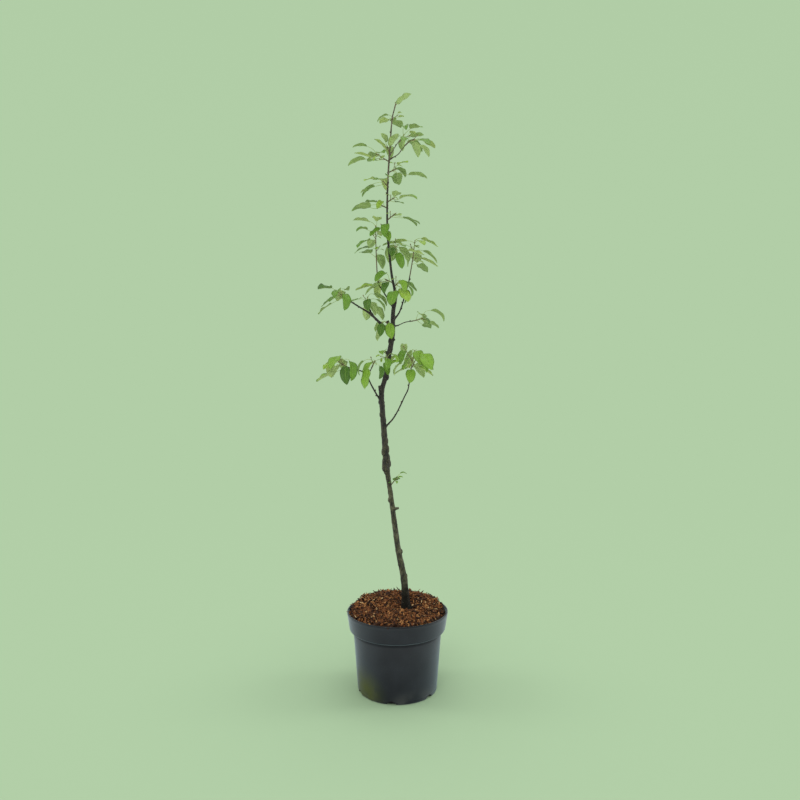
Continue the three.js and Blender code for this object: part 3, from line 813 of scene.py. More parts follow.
def shelve(name: str, patterns: Sequence[Thing]) -> Shelf:
    """Puts patterns in a collection of their own, in order.

    Args:
        name: The collection's name.
        patterns: The pattern objects.

    Returns:
        The collection.
    """
    shelf = bpy.data.collections.new(name)
    bpy.context.scene.collection.children.link(shelf)
    for pattern in patterns:
        bpy.context.scene.collection.objects.unlink(pattern)
        shelf.objects.link(pattern)
    return shelf


def clear_shelf(shelf: Shelf) -> None:
    """Removes a collection of patterns once nothing needs it."""
    bpy.data.batch_remove([*shelf.objects, shelf])


class SeededRandom:
    """Numbers from 0 to 1 that a seed decides, the same ones as in the source."""

    def __init__(self, seed: int) -> None:
        """Starts from a seed.

        Args:
            seed: Any whole number.
        """
        self.state = (seed * 2654435761) & 0xFFFFFFFF
        for _ in range(4):
            self.next()

    def next(self) -> float:
        """The next number."""
        self.state = (self.state * 1664525 + 1013904223) & 0xFFFFFFFF
        return self.state / 4294967296

    def between(self, low: float, high: float) -> float:
        """The next number between two values."""
        return low + (high - low) * self.next()


def unit(vector: Array) -> Array:
    """A vector's direction."""
    return vector / np.linalg.norm(vector)


def heading(turn: float, rise: float) -> Array:
    """The direction at degrees of turn, from right to back, and degrees of rise."""
    t, r = math.radians(turn), math.radians(rise)
    return np.array((math.cos(r) * math.cos(t), math.cos(r) * math.sin(t), math.sin(r)))


@dataclass
class Spot:
    """A place on a shoot with the frame there."""

    point: Array
    along: Array
    side: Array
    across: Array

    def around(self, turn: float, spread: float) -> Array:
        """The direction at degrees of turn round the shoot and of spread away from it."""
        return heading(turn, 90 - spread) @ np.stack([self.side, self.across, self.along])


def spots_along(points: Array) -> list[Spot]:
    """Frames carried along a line without twisting.

    Args:
        points: The line's points.

    Returns:
        One spot for each point.
    """
    found = []
    side = np.array((0.0, 1.0, 0.0))
    for i, point in enumerate(points):
        along = unit(points[min(len(points) - 1, i + 1)] - points[max(0, i - 1)])
        if i == 0 and abs(along[1]) > 0.9:
            side = np.array((1.0, 0.0, 0.0))
        side = unit(side - along * (side @ along))
        found.append(Spot(point, along, side, np.cross(side, along)))
    return found


def spot_at(points: Array, share: float) -> Spot:
    """The spot at a share of the way along a line.

    Args:
        points: The line's points.
        share: From 0 to 1.

    Returns:
        The spot, with the frame of the point before it.
    """
    place = share * (len(points) - 1)
    i = min(len(points) - 2, math.floor(place))
    there = points[i] + (points[i + 1] - points[i]) * (place - i)
    return replace(spots_along(points)[i], point=there)


def bow(start: Array, knee: Array, end: Array, steps: int) -> Array:
    """Points of a curve that leaves its start toward a knee and comes from there to its end."""
    t = np.linspace(0, 1, steps + 1)[:, None]
    return start * (1 - t) ** 2 + knee * (2 * t * (1 - t)) + end * t**2


def curve_points(start: Array, first: Array, last: Array, length: float, steps: int) -> Array:
    """A curve that leaves along its first direction and ends along its last, half its length each."""
    knee = start + first * (length / 2)
    return bow(start, knee, knee + last * (length / 2), steps)


@dataclass
class Limb:
    """A trunk or bough: its centres and radii, in millimetres."""

    name: str
    rows: Array

    @property
    def centres(self) -> Array:
        """The points of its centreline."""
        return self.rows[:, :3]

    @property
    def radii(self) -> Array:
        """Its radius at each of them."""
        return self.rows[:, 3] / 2

    def smooth_rows(self, step: float) -> Array:
        """Rows drawn more closely through the same points.

        Args:
            step: The distance between rows.

        Returns:
            The rows.
        """
        rows = self.rows
        padded = np.vstack([2 * rows[0] - rows[1], rows, 2 * rows[-1] - rows[-2]])
        drawn = []
        for i in range(1, len(padded) - 2):
            before, first, last, after = padded[i - 1 : i + 3]
            count = max(2, round(np.linalg.norm(last[:3] - first[:3]) / step))
            t = (np.arange(count) / count)[:, None]
            bend = 2 * before - 5 * first + 4 * last - after
            twist = 3 * first - before - 3 * last + after
            drawn.append(0.5 * (2 * first + (last - before) * t + bend * t**2 + twist * t**3))
        return np.vstack([*drawn, rows[-1:]])


@dataclass(frozen=True)
class LeafForm:
    """How far a blade arches and folds, in degrees, and its width as a share of its length."""

    arch: float
    fold: float
    width: float


LEAF_FORMS = [
    LeafForm(36, 18, 0.56),
    LeafForm(58, 24, 0.5),
    LeafForm(20, 12, 0.6),
    LeafForm(72, 28, 0.5),
    LeafForm(46, 10, 0.62),
    LeafForm(14, 26, 0.54),
]


def blade_outline(u: Array) -> Array:
    """A blade's half width, as a share of the widest, from its base at 0 to its tip at 1."""
    return np.sin(math.pi * np.power(u, 0.8)) ** 0.72


def blade_points(form: LeafForm, u: Array, v: Array, half: Array) -> Array:
    """Points of a blade one unit long, in its own frame: forward, sideways, up.

    Args:
        form: The blade's form.
        u: Places from base to tip.
        v: Places from edge to edge, -1 to 1.
        half: Half widths there.

    Returns:
        The points.
    """
    arch = math.radians(form.arch)
    bend = arch * u
    fold = math.radians(form.fold)
    up = half * np.abs(v) * math.sin(fold)
    forward = np.sin(bend) / arch + up * np.sin(bend)
    height = up * np.cos(bend) - (1 - np.cos(bend)) / arch
    return np.stack([forward, half * v * math.cos(fold), height], axis=-1)


@dataclass
class Leaf:
    """A stalked leaf: where it grows, how it lies, and how long it is."""

    node: Array
    knee: Array
    base: Array
    forward: Array
    side: Array
    normal: Array
    length: float
    form: int
    samples: Array = field(init=False)

    def __post_init__(self) -> None:
        """Works out the points that stand for the blade where distances are tested."""
        form = LEAF_FORMS[self.form]
        u = np.array([*np.repeat((0.14, 0.38, 0.62, 0.86), 3), 1.0])
        v = np.array([-0.85, 0, 0.85] * 4 + [0.0])
        half = form.width * np.abs(blade_outline(u)) / 2
        own = blade_points(form, u, v, half) * self.length
        axes = np.stack([self.forward, self.side, self.normal])
        self.samples = self.base + own @ axes

    @property
    def stalk_samples(self) -> Array:
        """Points along the stalk for the same tests."""
        middle = (self.node + self.knee) / 2
        return np.stack([middle, self.knee, (self.knee + self.base) / 2, self.base])


@dataclass(frozen=True)
class MassPlan:
    """How one mass of foliage grows; the same values as in the source."""

    name: str
    on: str
    height: float | None
    turn: float
    rise: float
    length: float
    leaves: int
    twigs: int
    blade: float
    pitch: float
    stalk: float
    seed: int


@dataclass
class Mass:
    """A mass as grown: its stem, its twigs and its leaves, in millimetres."""

    plan: MassPlan
    stem: Array
    diameter: float
    points: list[Array]
    twigs: list[Array] = field(default_factory=list)
    fine_twigs: list[Array] = field(default_factory=list)
    leaves: list[Leaf] = field(default_factory=list)
    young: list[Leaf] = field(default_factory=list)


@dataclass
class GrowthRule:
    """The seeded rule that lays out stems, twigs and leaves, as the source has it."""

    twig_leaves: int = 3
    stem_diameter: float = 2.2
    spur_diameter: float = 2.6
    spur_length: float = 20
    stem_steps: int = 4
    twig_length_share: float = 0.6
    twig_habit: tuple[float, float, int] = (48, 0.35, 2)
    fine_habit: tuple[float, float, int] = (52, 0.5, 3)
    fine_length: float = 16
    fine_to_leaf: float = 2.5
    stalk_spread: float = 58
    bare_share: float = 0.25
    clearance: float = 0.3
    reach: float = 78
    leaf_to_limb: float = 3.2
    twig_to_limb: float = 2
    leaf_to_stranger: float = 9
    leaf_to_sibling: float = 5
    twig_to_stranger: float = 5

    def grow(self, limbs: Sequence[Limb], plans: Sequence[MassPlan]) -> list[Mass]:
        """Grows every mass.

        Args:
            limbs: The trunk and the boughs.
            plans: The masses' plans, in order.

        Returns:
            The grown masses.
        """
        self.starts = np.concatenate([limb.centres[:-1] for limb in limbs])
        self.spans = np.concatenate([np.diff(limb.centres, axis=0) for limb in limbs])
        self.radii = np.concatenate([limb.radii[:-1] for limb in limbs])
        by_name = {limb.name: limb for limb in limbs}
        masses = [self._lay_stem(plan, by_name[plan.on]) for plan in plans]
        for mass in masses:
            self._fill(mass, masses)
        for mass in masses:
            self._refine(mass, masses)
        return masses

    def clear_of_limbs(self, points: Array, gap: float) -> bool:
        """Whether points stay clear of the trunk and the boughs.

        Args:
            points: The points.
            gap: The least gap.

        Returns:
            True if they do.
        """
        to = points[:, None] - self.starts
        share = (to * self.spans).sum(-1) / (self.spans**2).sum(-1)
        nearest = self.spans * np.clip(share, 0, 1)[..., None]
        return bool((np.linalg.norm(to - nearest, axis=-1) - self.radii > gap).all())

    @staticmethod
    def blades(masses: Sequence[Mass]) -> list[Array]:
        """The points that stand for every blade of some masses."""
        return [leaf.samples for mass in masses for leaf in mass.leaves + mass.young]

    @staticmethod
    def apart(points: Array, others: Sequence[Array], gap: float) -> bool:
        """Whether points lie further than a gap from every other."""
        every = np.vstack([np.empty((0, 3)), *others])
        return bool((np.linalg.norm(points[:, None] - every, axis=-1) > gap).all())

    def twig_fits(self, free: Array, strange: Sequence[Array], gap: float) -> bool:
        """Whether a twig beyond its foot keeps clear of the wood and of strange points."""
        return self.clear_of_limbs(free, self.twig_to_limb) and self.apart(free, strange, gap)

    def _lay_stem(self, plan: MassPlan, limb: Limb) -> Mass:
        """Lays a mass's stem on from a bough's tip or out from the trunk's axis.

        Args:
            plan: The mass's plan.
            limb: The limb that it grows on.

        Returns:
            The mass with its stem alone.
        """
        centres = limb.centres
        along = unit(centres[-1] - centres[-2])
        goal = heading(plan.turn, plan.rise)
        start, first = centres[-1] + along * self.clearance, along
        if plan.height is not None:
            above = int(np.argmax(centres[:, 2] > plan.height))
            low, high = centres[above - 1], centres[above]
            start = low + (high - low) * ((plan.height - low[2]) / (high[2] - low[2]))
            first = goal
        thick = self.spur_diameter if plan.length < self.spur_length else self.stem_diameter
        stem = curve_points(start, first, goal, plan.length, self.stem_steps)
        return Mass(plan, stem, thick, list(stem))

    def _grow_twig(
        self, mass: Mass, share: float, turn: float, length: float, habit: tuple[float, float, int]
    ) -> Array:
        """Grows a twig's points from a mass's stem.

        Args:
            mass: The mass.
            share: Where on the stem.
            turn: Degrees round the stem.
            length: The twig's length.
            habit: Degrees away from the stem, how far the tip lifts, and the steps.

        Returns:
            The points.
        """
        spread, lift, steps = habit
        spot = spot_at(mass.stem, share)
        out = spot.around(turn, spread)
        return curve_points(spot.point, out, unit(out + (0, 0, lift)), length, steps)

    def _grow_leaf(
        self, plan: MassPlan, shoot: Array, share: float, turn: float, random: SeededRandom,
        size: float = 1.0,
    ) -> Leaf:
        """Grows a leaf whose stalk leaves the shoot and turns to carry the blade.

        Args:
            plan: The mass's plan.
            shoot: The shoot's points.
            share: Where on the shoot.
            turn: Degrees round the shoot.
            random: The mass's numbers.
            size: The leaf's size as a share of a grown one.

        Returns:
            The leaf.
        """
        spot = spot_at(shoot, share)
        out = spot.around(turn, self.stalk_spread / 2 if share > 0.99 else self.stalk_spread)
        length = plan.blade * size * random.between(0.76, 1.12)
        stalk = length * plan.stalk * random.between(0.55, 1.3)
        pitch = plan.pitch + random.between(-22, 22)
        roll = math.radians(random.between(-24, 24))
        yaw = math.atan2(out[1], out[0]) + math.radians(random.between(-28, 28))
        form = math.floor(random.next() * len(LEAF_FORMS))
        forward = heading(math.degrees(yaw), pitch)
        level = unit(np.cross((0, 0, 1), forward))
        upright = np.cross(forward, level)
        side = level * math.cos(roll) + upright * math.sin(roll)
        knee = spot.point + out * (stalk * 0.55)
        base = knee + forward * (stalk * 0.45)
        normal = np.cross(forward, side)
        return Leaf(spot.point, knee, base, forward, side, normal, length, form)

    def _fits(self, leaf: Leaf, mass: Mass, others: Sequence[Mass], ease: float = 1.0) -> bool:
        """Whether a leaf keeps to its mass's space and clear of everything else.

        Args:
            leaf: The leaf.
            mass: Its mass.
            others: The other masses.
            ease: The share of each gap that it has to keep.

        Returns:
            True if it fits.
        """
        blade, stalk = leaf.samples, leaf.stalk_samples
        middle = spot_at(mass.stem, 0.5).point
        strange_leaves = self.blades(others)
        strange_points = [point for other in others for point in other.points]
        gap = self.twig_to_stranger * ease
        return bool(
            (np.linalg.norm(blade - middle, axis=1) < self.reach).all()
            and self.clear_of_limbs(blade, self.leaf_to_limb * ease)
            and self.clear_of_limbs(stalk[1:], self.twig_to_limb * ease)
            and self.apart(blade, strange_leaves, self.leaf_to_stranger * ease)
            and self.apart(blade, strange_points, gap)
            and self.apart(stalk, strange_leaves + strange_points, gap)
            and self.apart(blade, self.blades([mass]), self.leaf_to_sibling * ease)
        )

    def _fill(self, mass: Mass, masses: Sequence[Mass]) -> None:
        """Fills a mass with twigs and leaves in the room that is left.

        Args:
            mass: The mass.
            masses: All masses.
        """
        plan, random = mass.plan, SeededRandom(mass.plan.seed)
        others = [other for other in masses if other is not mass]
        shoots = [(mass.stem, plan.leaves)]
        for i in range(plan.twigs):
            share, turn = (i + 1) / (plan.twigs + 1), 90 + GOLDEN_TURN * (i + 0.5)
            length = plan.length * self.twig_length_share * random.between(0.7, 1.2)
            twig = self._grow_twig(mass, share, turn, length, self.twig_habit)
            strange = self.blades(others) + [point for other in others for point in other.points]
            if self.twig_fits(twig[1:], strange, self.twig_to_stranger):
                mass.twigs.append(twig)
                mass.points.extend(twig[1:])
                shoots.append((twig, self.twig_leaves))
        for line, leaves in shoots:
            turned = random.between(0, 360)
            for i in range(leaves):
                share = self.bare_share + ((1 - self.bare_share) * (i + 1)) / leaves
                leaf = self._grow_leaf(plan, line, share, turned + GOLDEN_TURN * i, random)
                if self._fits(leaf, mass, others):
                    mass.leaves.append(leaf)
                    mass.points.extend(leaf.stalk_samples)

    def _refine(self, mass: Mass, masses: Sequence[Mass]) -> None:
        """Carries the rule on to finer twigs with young leaves, within the same reach.

        Args:
            mass: The mass.
            masses: All masses.
        """
        plan, random = mass.plan, SeededRandom(mass.plan.seed + 1)
        others = [other for other in masses if other is not mass]
        for _ in range(3 if plan.length > 40 else 1):
            share, turn = 0.3 + 0.6 * random.next(), random.between(0, 360)
            length = min(self.fine_length, plan.blade * 0.4) * random.between(0.6, 1.1)
            twig = self._grow_twig(mass, share, turn, length, self.fine_habit)
            if not self.twig_fits(twig[1:], self.blades(masses), self.fine_to_leaf):
                continue
            mass.fine_twigs.append(twig)
            for k in range(2):
                turn = 90 + GOLDEN_TURN * k
                size = random.between(0.22, 0.4)
                leaf = self._grow_leaf(plan, twig, 0.55 + 0.22 * k, turn, random, size)
                if self._fits(leaf, mass, others, 0.5):
                    mass.young.append(leaf)
                    mass.points.extend(leaf.stalk_samples)


# Wood, in millimetres: rows of x, y, height and diameter along each centreline
GROUND = 145.0
TRUNK_ROWS = [
    (17, 0, GROUND - 4, 22), (15.6, 0, 156, 16.4), (14.2, 0.5, 176, 13.6), (11.5, 1, 205, 12),
    (2, 2, 250, 10.6), (-5.2, 3, 301, 9.8), (-11, 3, 346, 8.9), (-17.6, 2, 390, 9),
    (-20.4, 1, 412, 12.4), (-22.4, 0, 440, 11.2), (-25.6, -1, 485, 10.4), (-28.8, -2, 530, 9.4),
    (-28.5, -2, 550, 8.8), (-22, -1, 574, 8.8), (-16.4, 1, 610, 9.2), (-9.5, 3, 650, 9),
    (-7.8, 4, 695, 7.8), (-3.6, 4, 722, 7), (-5, 4, 736, 5.4), (-10.4, 3, 762, 4.7),
    (-14.6, 1, 800, 4.2), (-18.4, -1, 840, 3.9), (-18.8, -2, 895, 3.6), (-16.9, -1, 950, 3.4),
    (-13.6, 0, 1000, 3.1), (-10, 1, 1050, 2.6), (-4.4, 1, 1075, 2.3),
]
STUB_ROWS = [
    [(-28.8, -2, 536, 9.2), (-31.4, -3, 558, 8.4)],
    [(-8.4, 3, 328, 6), (2.6, 1, 331, 4.4)],
    [(-15.4, 1, 616, 7.4), (-25.4, -1, 622, 3)],
    [(-6.6, 4, 704, 6.4), (-12.6, 2, 711, 4.6)],
    [(-11.4, 2, 642, 6), (-4.2, 0, 643, 3.4)],
    [(-9.6, 3, 654, 7.2), (-18.5, 5, 678, 6)],
]
# Burrs and old scars in the bark: x, y, height and radius
BURRS = [
    (-22.4, -2, 408, 6.2), (-22.6, -1.5, 417, 5.6), (-24.2, -2, 436, 5.4), (-23.4, 1.5, 445, 4.8),
    (-19, -2.5, 424, 5.6), (-20.2, -1, 440, 5.4), (-21.8, 0, 455, 5), (-14.2, 4, 346, 3.4),
    (-24.4, -1, 464, 4.6), (-19.6, 1, 402, 6), (-16.8, 3, 413, 5), (-28.4, -3, 505, 4.6),
    (-2.4, 0.5, 300, 2.6), (7.2, 2.6, 250, 2.6), (15.6, 2.4, 205, 2.8), (9.2, -1.8, 214, 2.6),
    (-21.5, 3.5, 405, 4.8), (-31.6, 0, 528, 3.6), (-19.8, -1.5, 575, 4.6), (-13.2, 1, 640, 3.8),
]
BOUGH_ROWS = {
    "lower_right_bough": [
        (-25.3, -1, 478, 4.6), (-16, -5, 488, 3.8), (-8, -7, 497, 3.4), (1, -7, 512, 3.2),
        (13, -3, 537, 3), (20, 2, 552, 2.8), (22.8, 8, 571, 2.7),
    ],
    "lower_left_bough": [
        (-28.8, -2, 530, 4.8), (-36, -5, 538, 3.9), (-43.5, -9, 551, 3.5), (-51, -13, 566, 3.2),
        (-57, -16, 580, 3), (-69.5, -20, 586, 2.8), (-84, -24, 590, 2.6),
    ],
    "lower_left_fork": [(-55.4, -15.2, 576, 2.8), (-50, -21, 584, 2.4), (-46, -26, 592, 2.2)],
    "middle_left_bough": [
        (-8.9, 3.2, 657, 7), (-17, -2, 664, 6.4), (-27, -7, 669, 6), (-45.5, -13, 686, 5),
        (-56, -16, 694, 4.2), (-68, -19, 701, 3.6), (-88, -24, 713, 2.9),
    ],
    "middle_left_fork": [(-45.5, -13, 686, 4.2), (-50, -6, 695, 3.8), (-54, 1, 704, 3.4)],
    "middle_right_bough": [
        (-8.8, 3.4, 668, 3.4), (-2, 8, 669, 2.8), (4.8, 12, 671.5, 2.4), (14, 17, 676, 2.2),
        (27, 22, 678.5, 2.1),
    ],
    "right_upright_bough": [
        (-8.3, 3.8, 680, 4.4), (-1, 8, 687, 3.8), (4.8, 12, 697, 3.4), (10.4, 16, 714, 3.2),
        (15, 19, 731, 3), (20.6, 21, 749, 2.8), (23.4, 22, 764, 2.7),
    ],
    "left_upright_bough": [
        (-6.2, 4, 706, 4), (-14, 9, 715, 3.4), (-24, 13, 729, 3), (-32.5, 16, 743, 2.8),
        (-37.4, 17.5, 757, 2.7), (-38.2, 18, 770, 2.6),
    ],
    "upper_right_bough": [
        (-15.2, -0.4, 976, 2.8), (-7, -6, 979, 2.4), (2, -12, 983, 2.2), (9, -16, 991, 2.1),
        (16, -20, 998, 2),
    ],
    "top_right_bough": [
        (-14.8, -0.3, 984, 2.8), (-10.5, 5, 991, 2.4), (-6, 9, 1000, 2.2), (-1, 13, 1009, 2.1),
        (4, 16, 1016, 2),
    ],
}

# Masses: limb, height on the trunk, turn, rise, stem, leaves, twigs, blade, pitch, stalk, seed
MASS_ROWS = {
    "tip": ("trunk", None, 35, 50, 4, 1, 0, 38, 56, 0.06, 6990),
    "leader": ("trunk", 1052, 90, 38, 8, 6, 0, 33, 0, 0.5, 1136),
    "top_right": ("top_right_bough", None, 50, 50, 18, 7, 0, 35, 12, 0.7, 1735),
    "upper_right": ("upper_right_bough", None, 20, 12, 18, 7, 0, 36, 6, 0.7, 9963),
    "upper_front": ("trunk", 986, 245, 50, 15, 6, 0, 36, 32, 0.5, 3435),
    "upper_left": ("trunk", 972, 195, 28, 26, 7, 0, 36, 10, 0.7, 2113),
    "right_high": ("trunk", 952, 5, 24, 15, 7, 0, 36, 4, 0.7, 2194),
    "left_high": ("trunk", 926, 215, 38, 14, 7, 0, 35, 0, 0.7, 236),
    "right_middle": ("trunk", 897, -5, 30, 14, 5, 0, 34, 10, 0.7, 8179),
    "left_middle": ("trunk", 886, 185, 24, 16, 5, 0, 33, 8, 0.7, 7700),
    "right_low": ("trunk", 864, -15, 36, 19, 6, 0, 33, 4, 0.7, 140),
    "leader_front": ("trunk", 841, 260, 22, 14, 5, 0, 36, -18, 0.5, 1804),
    "spur_front": ("trunk", 806, -15, 32, 17, 9, 0, 35, -20, 0.7, 4312),
    "right_upright": ("right_upright_bough", None, 10, 84, 66, 12, 0, 35, -6, 0.7, 1372),
    "left_upright": ("left_upright_bough", None, 175, 90, 86, 12, 0, 34, 2, 0.7, 5476),
    "centre_left": ("trunk", 748, 190, 24, 16, 9, 0, 34, -12, 0.7, 2076),
    "centre_right": ("trunk", 742, -60, 16, 15, 8, 0, 36, -24, 0.7, 6256),
    "middle_left": ("middle_left_bough", None, 170, 42, 24, 9, 1, 37, -10, 0.7, 841),
    "middle_fork": ("middle_left_fork", None, 75, 60, 17, 7, 1, 33, -18, 0.7, 1858),
    "middle_right": ("middle_right_bough", None, 25, 22, 25, 8, 0, 33, -14, 0.7, 2964),
    "waist": ("trunk", 668, 210, 24, 17, 5, 0, 33, -48, 0.7, 5605),
    "low_front": ("trunk", 608, 255, 12, 18, 8, 0, 32, -16, 0.7, 9194),
    "lower_left": ("lower_left_bough", None, 175, 42, 28, 15, 1, 38, -34, 0.7, 5937),
    "lower_fork": ("lower_left_fork", None, -60, 46, 14, 7, 0, 36, -45, 0.7, 8888),
    "lower_right": ("lower_right_bough", None, 15, 78, 52, 15, 2, 38, -34, 0.7, 1368),
    "low_shoot": ("trunk", 370, -25, 50, 26, 7, 0, 13, 26, 0.5, 7129),
}


@dataclass
class Pot:
    """The round nursery pot: a moulded shell with a deep collar and drain slots."""

    finish: PlasticFinish
    height: float = 143
    rim_radius: float = 92.5
    collar_foot_radius: float = 88.0
    collar_foot_height: float = 112.2
    wall_top_radius: float = 80.8
    wall_top_height: float = 107.4
    wall_foot_radius: float = 72.6
    wall: float = 1.7
    floor_top: float = 4.2
    foot_ring_inner: float = 52
    pad_radius: float = 24
    recess: float = 2.4
    lip: float = 1.4
    segments: int = 168
    slots: int = 6
    slot_width: float = 17
    slot_height: float = 6.4
    slot_depth: float = 6.0
    slot_first_turn: float = -98
    slot_steps: int = 20
    sharp_turn: float = 34

    def wall_radius(self, height: float) -> float:
        """The outer radius of the wall at a height."""
        rise = (self.wall_top_radius - self.wall_foot_radius) / self.wall_top_height
        return self.wall_foot_radius + rise * height

    def _profile(self) -> list[tuple[float, float]]:
        """The shell's section as corners with rounding: from the axis below to the axis above.

        Returns:
            Radius and height of each point of the section, in millimetres.
        """
        rim, wall, top, recess = self.rim_radius, self.wall, self.height, self.recess
        inner, ring, pad = rim - wall - self.lip / 2, self.foot_ring_inner, self.pad_radius
        collar, foot = self.collar_foot_radius, self.collar_foot_height
        neck, ledge, at = self.wall_top_radius, self.wall_top_height, self.wall_radius
        corners = [
            (0, recess * 0.45, 0), (3.2, recess * 0.45, 0.3), (3.6, 0, 0.4), (pad, 0, 0.8),
            (pad + recess, recess, 0.8), (ring - recess, recess, 0.8), (ring, 0, 0.8),
            (self.wall_foot_radius - 0.5, 0, 3.6), (at(5), 5, 1.2), (at(6.2) - 0.35, 6.2, 0.6),
            (at(8), 8, 0.8), (at(76), 76, 1), (neck, ledge, 2.4), (neck + 1.8, ledge + 1.2, 1),
            (collar - 0.9, foot - 1.6, 1.4), (collar, foot, 1.2), (rim - 0.5, top - 6, 0.8),
            (rim, top - 4, 0.9), (rim, top, 0.9), (inner, top, 0.8), (inner - 0.2, top - 3, 1),
            (collar - wall, foot, 1.5), (neck - wall, ledge, 1.5),
            (at(self.floor_top) - wall, self.floor_top, 2), (0, self.floor_top, 0),
        ]
        return rounded_profile(corners)

    def _slot_cutter(self) -> Skin:
        """A rounded bar that cuts one slot, lying along its first axis.

        Returns:
            Its points in millimetres and its faces.
        """
        cos, sin = ring_turns(self.slot_steps)
        over, up, depth = cos * self.slot_width / 2, sin * self.slot_height, self.slot_depth
        ends = [np.column_stack([0 * cos + x, over, up]) for x in (-depth, depth)]
        return capped_rings((-depth, 0, 0), ends, (depth, 0, 0))

    def build(self) -> None:
        """Turns the section, cuts the drain slots, and lets the moulded rim give a little."""
        shell = turned_solid("pot_shell", self._profile(), self.segments)
        bar, faces = self._slot_cutter()
        for i in range(self.slots):
            turn = math.radians(self.slot_first_turn + 360 / self.slots * i)
            out = np.array((math.cos(turn), math.sin(turn), 0))
            axes = np.stack([out, (-out[1], out[0], 0), (0, 0, 1.0)])
            places = bar @ axes + out * self.wall_foot_radius
            made = mesh_object(f"slot_cutter_{i}", places * MM, faces)
            cut = shell.modifiers.new("cut", "BOOLEAN")
            cut.operation, cut.solver, cut.object = "DIFFERENCE", "EXACT", made
            bake(shell)
            bpy.data.objects.remove(made)
        places = np.array([vertex.co for vertex in shell.data.vertices])
        turns = np.arctan2(places[:, 1], places[:, 0])
        lean = smooth(0.03, 0.14, places[:, 2])
        give_way = 0.45 * np.sin(2 * turns + 0.7) + 0.2 * np.sin(3 * turns + 2.0)
        places[:, :2] *= (1 + (give_way * lean / self.rim_radius)[:, None])
        shell.data.vertices.foreach_set("co", places.ravel())
        shell.data.shade_smooth()
        shell.data.set_sharp_from_angle(angle=math.radians(self.sharp_turn))
        shell.modifiers.new("weighted", "WEIGHTED_NORMAL").keep_sharp = True
        bake(shell)
        shell.data.materials.clear()
        shell.data.materials.append(self.finish.material())
        hand_over(shell, ["pot"])


def rounded_profile(corners: Sequence[tuple[float, float, float]]) -> list[tuple[float, float]]:
    """Rounds the corners of an open line.

    Args:
        corners: Radius, height and rounding of each corner.

    Returns:
        The points of the rounded line.
    """
    points = [np.array(corner[:2], float) for corner in corners]
    line = [tuple(points[0])]
    for i in range(1, len(corners) - 1):
        here, rounding = points[i], corners[i][2]
        back, ahead = points[i - 1] - here, points[i + 1] - here
        reach = min(rounding, np.linalg.norm(back) * 0.48, np.linalg.norm(ahead) * 0.48)
        line += map(tuple, bow(here + unit(back) * reach, here, here + unit(ahead) * reach, 4))
    line.append(tuple(points[-1]))
    return line


def turned_solid(name: str, profile: Sequence[tuple[float, float]], segments: int) -> Thing:
    """Turns a section that starts and ends on the axis into a closed solid.

    Args:
        name: The object's name.
        profile: Radius and height of each point, in millimetres.
        segments: How many steps go round.

    Returns:
        The object.
    """
    cos, sin = ring_turns(segments)
    rings = [np.column_stack([cos * r, sin * r, 0 * cos + z]) for r, z in profile[1:-1]]
    points, faces = capped_rings((0, 0, profile[0][1]), rings, (0, 0, profile[-1][1]))
    return mesh_object(name, points * MM, faces)


